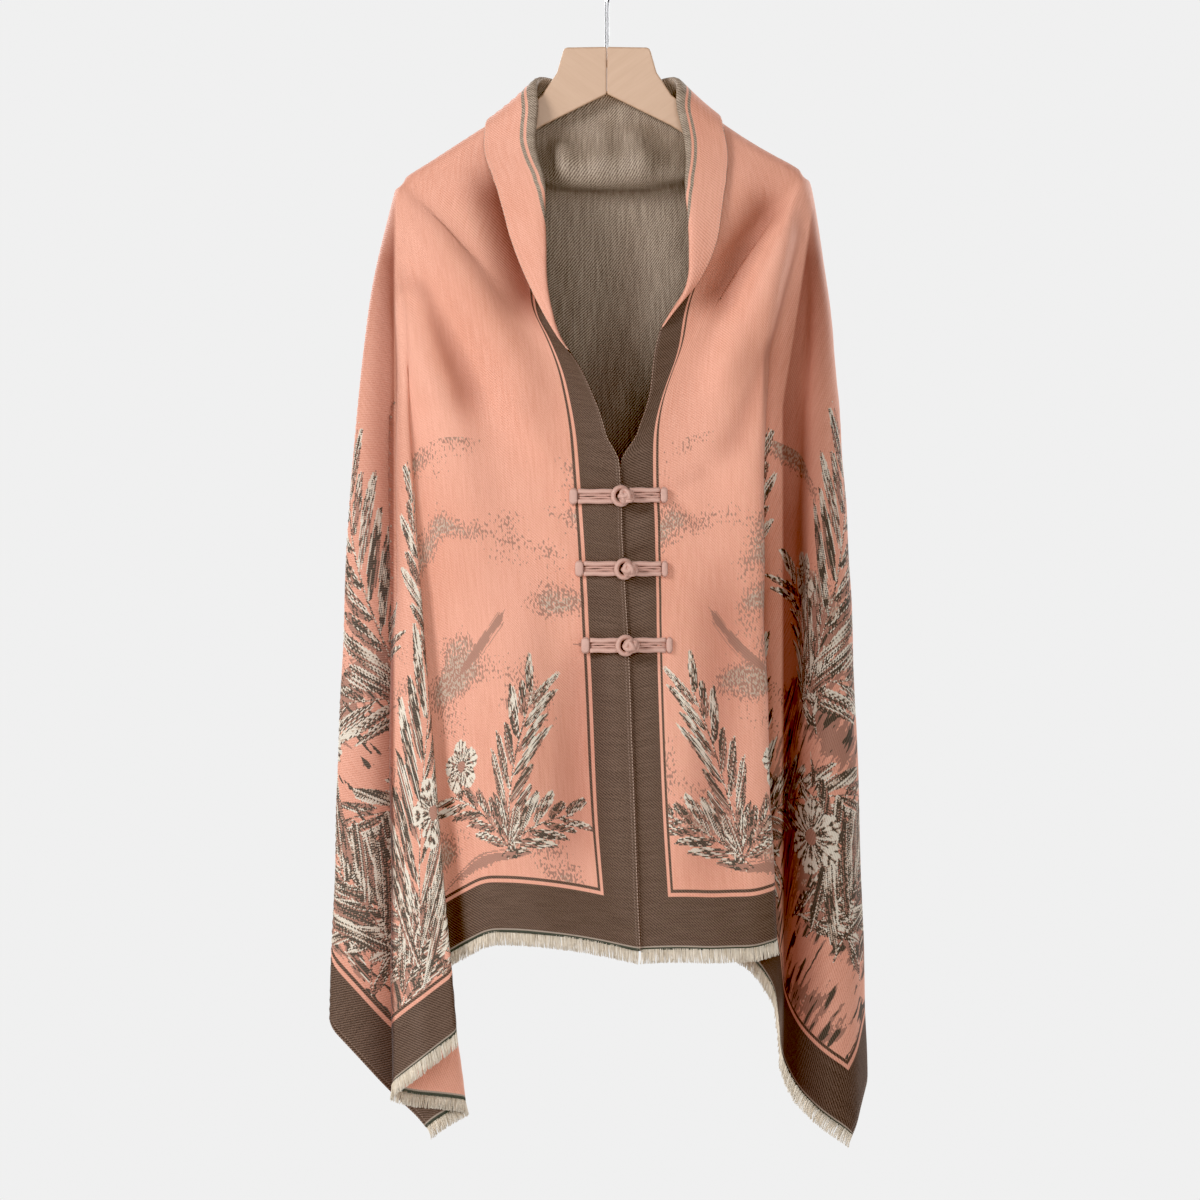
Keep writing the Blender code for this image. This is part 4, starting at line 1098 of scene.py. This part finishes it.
# The four cords of a strap: how far each lies from its middle, and its radius.
CORD_LAY = ((0.0047, 0.0024), (0.0013, 0.0012), (-0.0013, 0.0012), (-0.0047, 0.0024))


def level_with(side, along_at, downs):
    """Flat distances along the cloth at which it hangs as high as its edge does at that one."""
    found = np.full(len(downs), along_at)
    for _ in range(4):
        found = found + hung(side * found, downs)[:, 2] - hung(side * along_at, 0.0)[2]
    return found


def tube(line, radius, sides, up, closed=False):
    """(points, faces) of a tube along a line. up is a direction that the line doesn't take."""
    course = np.roll(line, -1, 0) - np.roll(line, 1, 0) if closed else np.gradient(line, axis=0)
    over = unit(np.cross(unit(course), up))
    lift = unit(np.cross(over, unit(course)))
    return ring_points(line, radius, over, lift, sides), ring_faces(len(line), sides, closed)


def joined(parts):
    """One (points, faces) from several."""
    points, faces, start = [], [], 0
    for part_points, part_faces in parts:
        points.append(part_points)
        faces += [tuple(start + k for k in face) for face in part_faces]
        start += len(part_points)
    return np.vstack(points), faces


def strap_course(side, along_at, near, far, steps):
    """(points, outward, upright) along a strap, laid level on its front."""
    downs = np.linspace(near, far, steps)
    at = side * level_with(side, along_at, downs)
    out = outward(at, downs)
    base = cloth(at, downs) + out * (WALL / 2 + LAID_GAP)
    upright = unit(side * np.cross(np.gradient(base, axis=0), out))
    return base, out, upright


def strap(side, along_at, near, far):
    """Four cords side by side: two thick, and between them two thin ones."""
    base, out, upright = strap_course(side, along_at, near, far, STRAP_RINGS)
    parts = []
    for offset, radius in CORD_LAY:
        wander = 0.00025 * np.sin(np.linspace(0, 9, len(base)) + offset * 900)
        line = base + upright * (offset + wander)[:, None] + out * (radius * 0.95)
        parts.append(tube(line, radius, 10, out[0]))
    return joined(parts)


def squared(wave):
    """A sine or cosine with fuller corners: the sign of w times |w|^0.45."""
    return np.sign(wave) * np.abs(wave) ** 0.45


def wrap(side, along_at, near, far):
    """The wrapped end of a strap: a soft block with shallow grooves between its turns."""
    base, out, upright = strap_course(side, along_at, near, far, WRAP_RINGS)
    share = np.arange(WRAP_SIDES) / WRAP_SIDES
    turn = 2 * math.pi * share
    groove = 1 - 0.10 * np.abs(np.sin(share * 8 * math.pi))
    wide = (squared(np.cos(turn)) * WRAP_HEIGHT / 2 * groove)[None, :, None]
    thick = ((squared(np.sin(turn)) + 1) * WRAP_THICK / 2)[None, :, None]
    ends = (np.sin(np.linspace(0.18, math.pi - 0.18, WRAP_RINGS)) ** 0.25)[:, None, None]
    points = base[:, None] + upright[:, None] * wide * ends
    points = points + out[:, None] * thick * (0.55 + 0.45 * ends)
    return points.reshape(-1, 3), ring_faces(WRAP_RINGS, WRAP_SIDES)


def knot_centre(frog):
    """The ball sits on the two front edges."""
    left, right = cloth(-frog.left_along, 0.0), cloth(frog.right_along, 0.0)
    rest = KNOT_RADIUS + WALL / 2 + LAID_GAP - max(frog.sink, 0.0007)
    return (left + right) / 2 + np.array([frog.aside, -rest, 0])


def turks_head(centre, radius, cord, tilt):
    """theta = 3 t, height = sin(4 t), and a distance that weaves over and under, t to 2 pi."""
    t = np.linspace(0, 2 * math.pi, KNOT_RINGS, endpoint=False)
    theta, rise = 3 * t, 0.95 * np.sin(4 * t)
    reach = radius - cord + 0.28 * cord * np.cos(4 * t * 2 + 0.6)
    x, y, z = np.cos(theta) * np.cos(rise), np.sin(rise), np.sin(theta) * np.cos(rise)
    cos, sin = math.cos(tilt), math.sin(tilt)
    turned = np.stack([x, y * cos - z * sin, y * sin + z * cos], 1) * reach[:, None]
    away, line = unit(turned), turned + centre
    over = unit(np.cross(unit(np.roll(line, -1, 0) - np.roll(line, 1, 0)), away))
    return ring_points(line, cord, over, away, 9), ring_faces(KNOT_RINGS, 9, closed=True)


def ball(centre, radius):
    """A plain sphere that fills the knot."""
    work = bmesh.new()
    bmesh.ops.create_uvsphere(work, u_segments=20, v_segments=12, radius=radius)
    points = np.array([v.co for v in work.verts]) + centre
    faces = [tuple(v.index for v in f.verts) for f in work.faces]
    work.free()
    return points, faces


cord_look = Shader("frog_cord", roughness=0.55, sheen_weight=0.25, sheen_roughness=0.4)
cord_grain = cord_look.noise(cord_look.place(), 900, 2.0)
cord_patches = cord_look.noise(cord_look.place(), 90, 2.0)
cord_share = (cord_grain * 0.6 + cord_patches * 0.4).held()
cord_colour = cord_look.mix(cord_share, rgb(0.47, 0.27, 0.22), rgb(0.68, 0.44, 0.37))
cord_look.give("Base Color", cord_colour)
cord_look.bump(cord_grain, 0.0003, 0.4)
frog_pieces = []
for number, frog in enumerate(FROGS):
    centre = knot_centre(frog)
    ends = (
        (-1, "left", frog.left_along, frog.left_reach),
        (1, "right", frog.right_along, frog.right_reach),
    )
    for side, label, along_at, reach in ends:
        near = KNOT_RADIUS * 0.55 + side * frog.aside
        far = reach - WRAP_LENGTH
        piece = make_object(f"frog_{frog.name}_{label}_cords", *strap(side, along_at, near, far))
        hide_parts(f"frog_{frog.name}_{label}_strap")
        block = make_object(f"frog_{frog.name}_{label}_end", *wrap(side, along_at, far + LAID_GAP, reach))
        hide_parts(f"frog_{frog.name}_{label}_wrap")
        frog_pieces += [piece, block]
    turn = np.linspace(0, 2 * math.pi, 40, endpoint=False)
    cos, sin = np.cos(turn), np.sin(turn)
    loop_line = np.stack([0.0072 * cos - 0.0020, 0.0012 + 0.0020 * cos, 0.0080 * sin], 1)
    middle_of_ball = centre + np.array(KNOT_MOVES)
    knot = joined([
        turks_head(middle_of_ball, KNOT_WOUND, KNOT_CORD, 0.5 + 0.4 * number),
        ball(middle_of_ball, KNOT_FILL),
        tube(centre + loop_line, LOOP_CORD, 12, (0, -1, 0), closed=True),
    ])
    piece = make_object(f"frog_{frog.name}_ball", *knot)
    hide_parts(f"frog_{frog.name}_knot")
    frog_pieces.append(piece)
for piece in frog_pieces:
    piece.data.materials.append(cord_look.material)
    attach(piece, "root")
print("frog pieces:", len(frog_pieces))

# %% [markdown]
# ## Hanger
#
# Two flat arms of pale hardwood meet in a mitre at the middle. An outline with a thickness and a
# soft bevel is all they need; the grain is what sells them, so it runs along each arm.

# %%
ARM_THICK = 0.010
ARM_EDGE = 0.0016
ARM_TOP = (
    (0.15, -98), (38, -98.6), (40.6, -99.9), (42, -103), (47.5, -122.5), (61.8, -144),
    (112, -182), (132, -197), (138, -201),
)
ARM_UNDER = ((139, -205), (136, -207.5), (130, -207.5), (104, -200), (61, -173), (0.15, -143))
GRAIN_SLOPE = 36


def hanger_arm(name, side):
    """One arm: its outline filled, given a thickness and bevelled."""
    outline = [(side * x / 1000, z / 1000) for x, z in ARM_TOP + ARM_UNDER]
    work = bmesh.new()
    face = work.faces.new([work.verts.new((x, -ARM_THICK / 2, z)) for x, z in outline])
    moved = bmesh.ops.extrude_face_region(work, geom=[face])["geom"]
    corners = [item for item in moved if isinstance(item, bmesh.types.BMVert)]
    bmesh.ops.translate(work, verts=corners, vec=(0, ARM_THICK, 0))
    bmesh.ops.recalc_face_normals(work, faces=work.faces)
    mesh = bpy.data.meshes.new(name)
    work.to_mesh(mesh)
    work.free()
    obj = linked(name, mesh)
    rounding = obj.modifiers.new("edges", "BEVEL")
    rounding.width = ARM_EDGE
    rounding.segments = 3
    rounding.limit_method = "ANGLE"
    rounding.angle_limit = math.radians(40)
    return obj


def wood_material(name, side):
    """Grain that is long along the arm and fine across it."""
    shader = Shader(name, roughness=0.42, specular_ior_level=0.4)
    turn = {"Vector": shader.place(), "Axis": (0, 1, 0), "Angle": side * math.radians(GRAIN_SLOPE)}
    level = shader.node("VectorRotate", turn)
    rings = shader.stretched_noise(level, (14, 60, 160), 4.0)
    fibre = shader.stretched_noise(level, (60, 500, 1600), 2.0)
    share = (rings * 0.55 + fibre * 0.30 + 0.05).held()
    shader.give("Base Color", shader.mix(share, rgb(0.50, 0.325, 0.22), rgb(0.66, 0.465, 0.335)))
    shader.bump(fibre, 0.0002, 0.15)
    return shader.material


for side, label in ((-1, "left"), (1, "right")):
    arm = hanger_arm(f"arm_wood_{label}", side)
    arm.data.materials.append(wood_material(f"wood_{label}", side))
    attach(arm, "root")
    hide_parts(f"hanger_arm_{label}")

# %% [markdown]
# The hook is a wire along one smooth line: a stem, a reverse bend and most of a circle whose inner
# top is the origin, because that is where the rail carries the whole piece.

# %%
HOOK_WIRE, HOOK_INNER, HOOK_BENDS, HOOK_FOOT = 0.002, 0.020, -0.056, -0.1175
ARC_FROM, ARC_TO = -52, 205


def hook_line():
    """Points of the wire's middle: straight stem, eased bend, then an arc about the rail."""
    radius, centre = HOOK_INNER + HOOK_WIRE, -HOOK_INNER
    stem = [(0, z) for z in np.linspace(HOOK_FOOT, HOOK_BENDS, 8)]
    leave = math.radians(ARC_FROM)
    join = np.array([radius * math.cos(leave), centre + radius * math.sin(leave)])
    course = radius * np.array([-math.sin(leave), math.cos(leave)])
    bend = []
    for share in np.linspace(0, 1, 14)[1:-1]:
        low = np.array([0, HOOK_BENDS]) * (1 + 2 * share) + np.array([0, radius]) * share
        high = join * (3 - 2 * share) + course * (share - 1)
        bend.append(tuple(low * (1 - share) ** 2 + high * share**2))
    turns = np.radians(np.linspace(ARC_FROM, ARC_TO, 60))
    arc = [(radius * math.cos(a), centre + radius * math.sin(a)) for a in turns]
    return np.array([(x, 0, z) for x, z in stem + bend + arc])


hook = make_object("hook_wire", *tube(hook_line(), HOOK_WIRE, 16, (0, 1, 0)))
steel = Shader("hook_steel", roughness=0.22, metallic=1.0, base_color=rgb(0.40, 0.40, 0.41))
hook.data.materials.append(steel.material)
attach(hook, "root")
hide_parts("hanger_hook")
print("hook height above its origin:", round(max(v.co.z for v in hook.data.vertices), 4))

# %% [markdown]
# ## Attaching the cloth
#
# The cloth and its fringes are attached to the root, and the solid model's cloth and fringe pieces are
# hidden.

# %%
for piece in [shawl] + fringes:
    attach(piece, "root")
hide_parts("shawl_left", "shawl_right", "shawl_back", "collar_left", "collar_right", "collar_back")
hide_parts("fringe_left")
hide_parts("fringe_right")

# %% [markdown]
# ## Studio
#
# A pale floor well below the hem, an even pale surround, a soft key light from the upper left, a
# wide light in front and two behind, so that no side is black. The lens is long, so the cloth isn't
# distorted. A small black level deepens the shadows that an even surround would wash out.

# %%
FLOOR_HEIGHT = -1.62
CAMERA_AWAY = 14.0
FRAME_WIDTH = 1.140
FRAME_MIDDLE = (-0.0066, -0.05, -0.62525)
SENSOR = 36
SURROUND, SURROUND_LIGHT = 0.876, 0.30
BLACK_LEVEL = 0.042
Light = namedtuple("Light", "name spot faces size power")
LIGHTS = table(
    Light,
    ("key", (-2.75, -2.4, 1.05), -0.6, 1.2, 92),
    ("front", (0.4, -4.2, 0.1), -0.6, 1.8, 62),
    ("back_right", (2.5, 2.1, 0.8), -0.5, 1.8, 95),
    ("back_left", (-2.3, 2.6, 0.8), -0.5, 1.8, 80),
)


def area_light(light):
    """A square soft light that faces a point on the middle axis."""
    data = bpy.data.lights.new(light.name, "AREA")
    data.shape = "SQUARE"
    data.size = light.size
    data.energy = light.power
    obj = linked(light.name, data)
    obj.location = light.spot
    x, y, z = np.array([0, 0, light.faces], float) - light.spot
    tilt = math.acos(-z / math.sqrt(x * x + y * y + z * z))
    obj.rotation_euler = (tilt, 0, math.atan2(y, x) - math.pi / 2)


for light in LIGHTS:
    area_light(light)
floor_piece = make_object("floor", [(-3, -3, 0), (3, -3, 0), (3, 3, 0), (-3, 3, 0)], [(0, 1, 2, 3)])
floor_piece.location = (0, 0, FLOOR_HEIGHT)
floor_look = Shader("floor_pale", roughness=0.9, base_color=rgb(0.80, 0.80, 0.80))
floor_piece.data.materials.append(floor_look.material)

world = bpy.data.worlds.new("pale_surround")
bpy.context.scene.world = world
world.use_nodes = True
nodes, links = world.node_tree.nodes, world.node_tree.links
nodes["Background"].inputs["Color"].default_value = rgb(SURROUND, SURROUND, SURROUND)
seen = nodes.new("ShaderNodeLightPath")
strength = nodes.new("ShaderNodeMapRange")
strength.inputs["To Min"].default_value = SURROUND_LIGHT
strength.inputs["To Max"].default_value = 1.0
links.new(seen.outputs["Is Camera Ray"], strength.inputs["Value"])
links.new(strength.outputs["Result"], nodes["Background"].inputs["Strength"])
view = bpy.context.scene.view_settings
view.view_transform = "Standard"
view.use_curve_mapping = True
view.curve_mapping.black_level = (BLACK_LEVEL, BLACK_LEVEL, BLACK_LEVEL)
view.curve_mapping.update()

lens = bpy.data.cameras.new("camera")
lens.sensor_width = SENSOR
lens.lens = SENSOR * CAMERA_AWAY / FRAME_WIDTH
camera = linked("camera", lens)
camera.location = (FRAME_MIDDLE[0], FRAME_MIDDLE[1] - CAMERA_AWAY, FRAME_MIDDLE[2])
camera.rotation_euler = (math.pi / 2, 0, 0)
bpy.context.scene.camera = camera
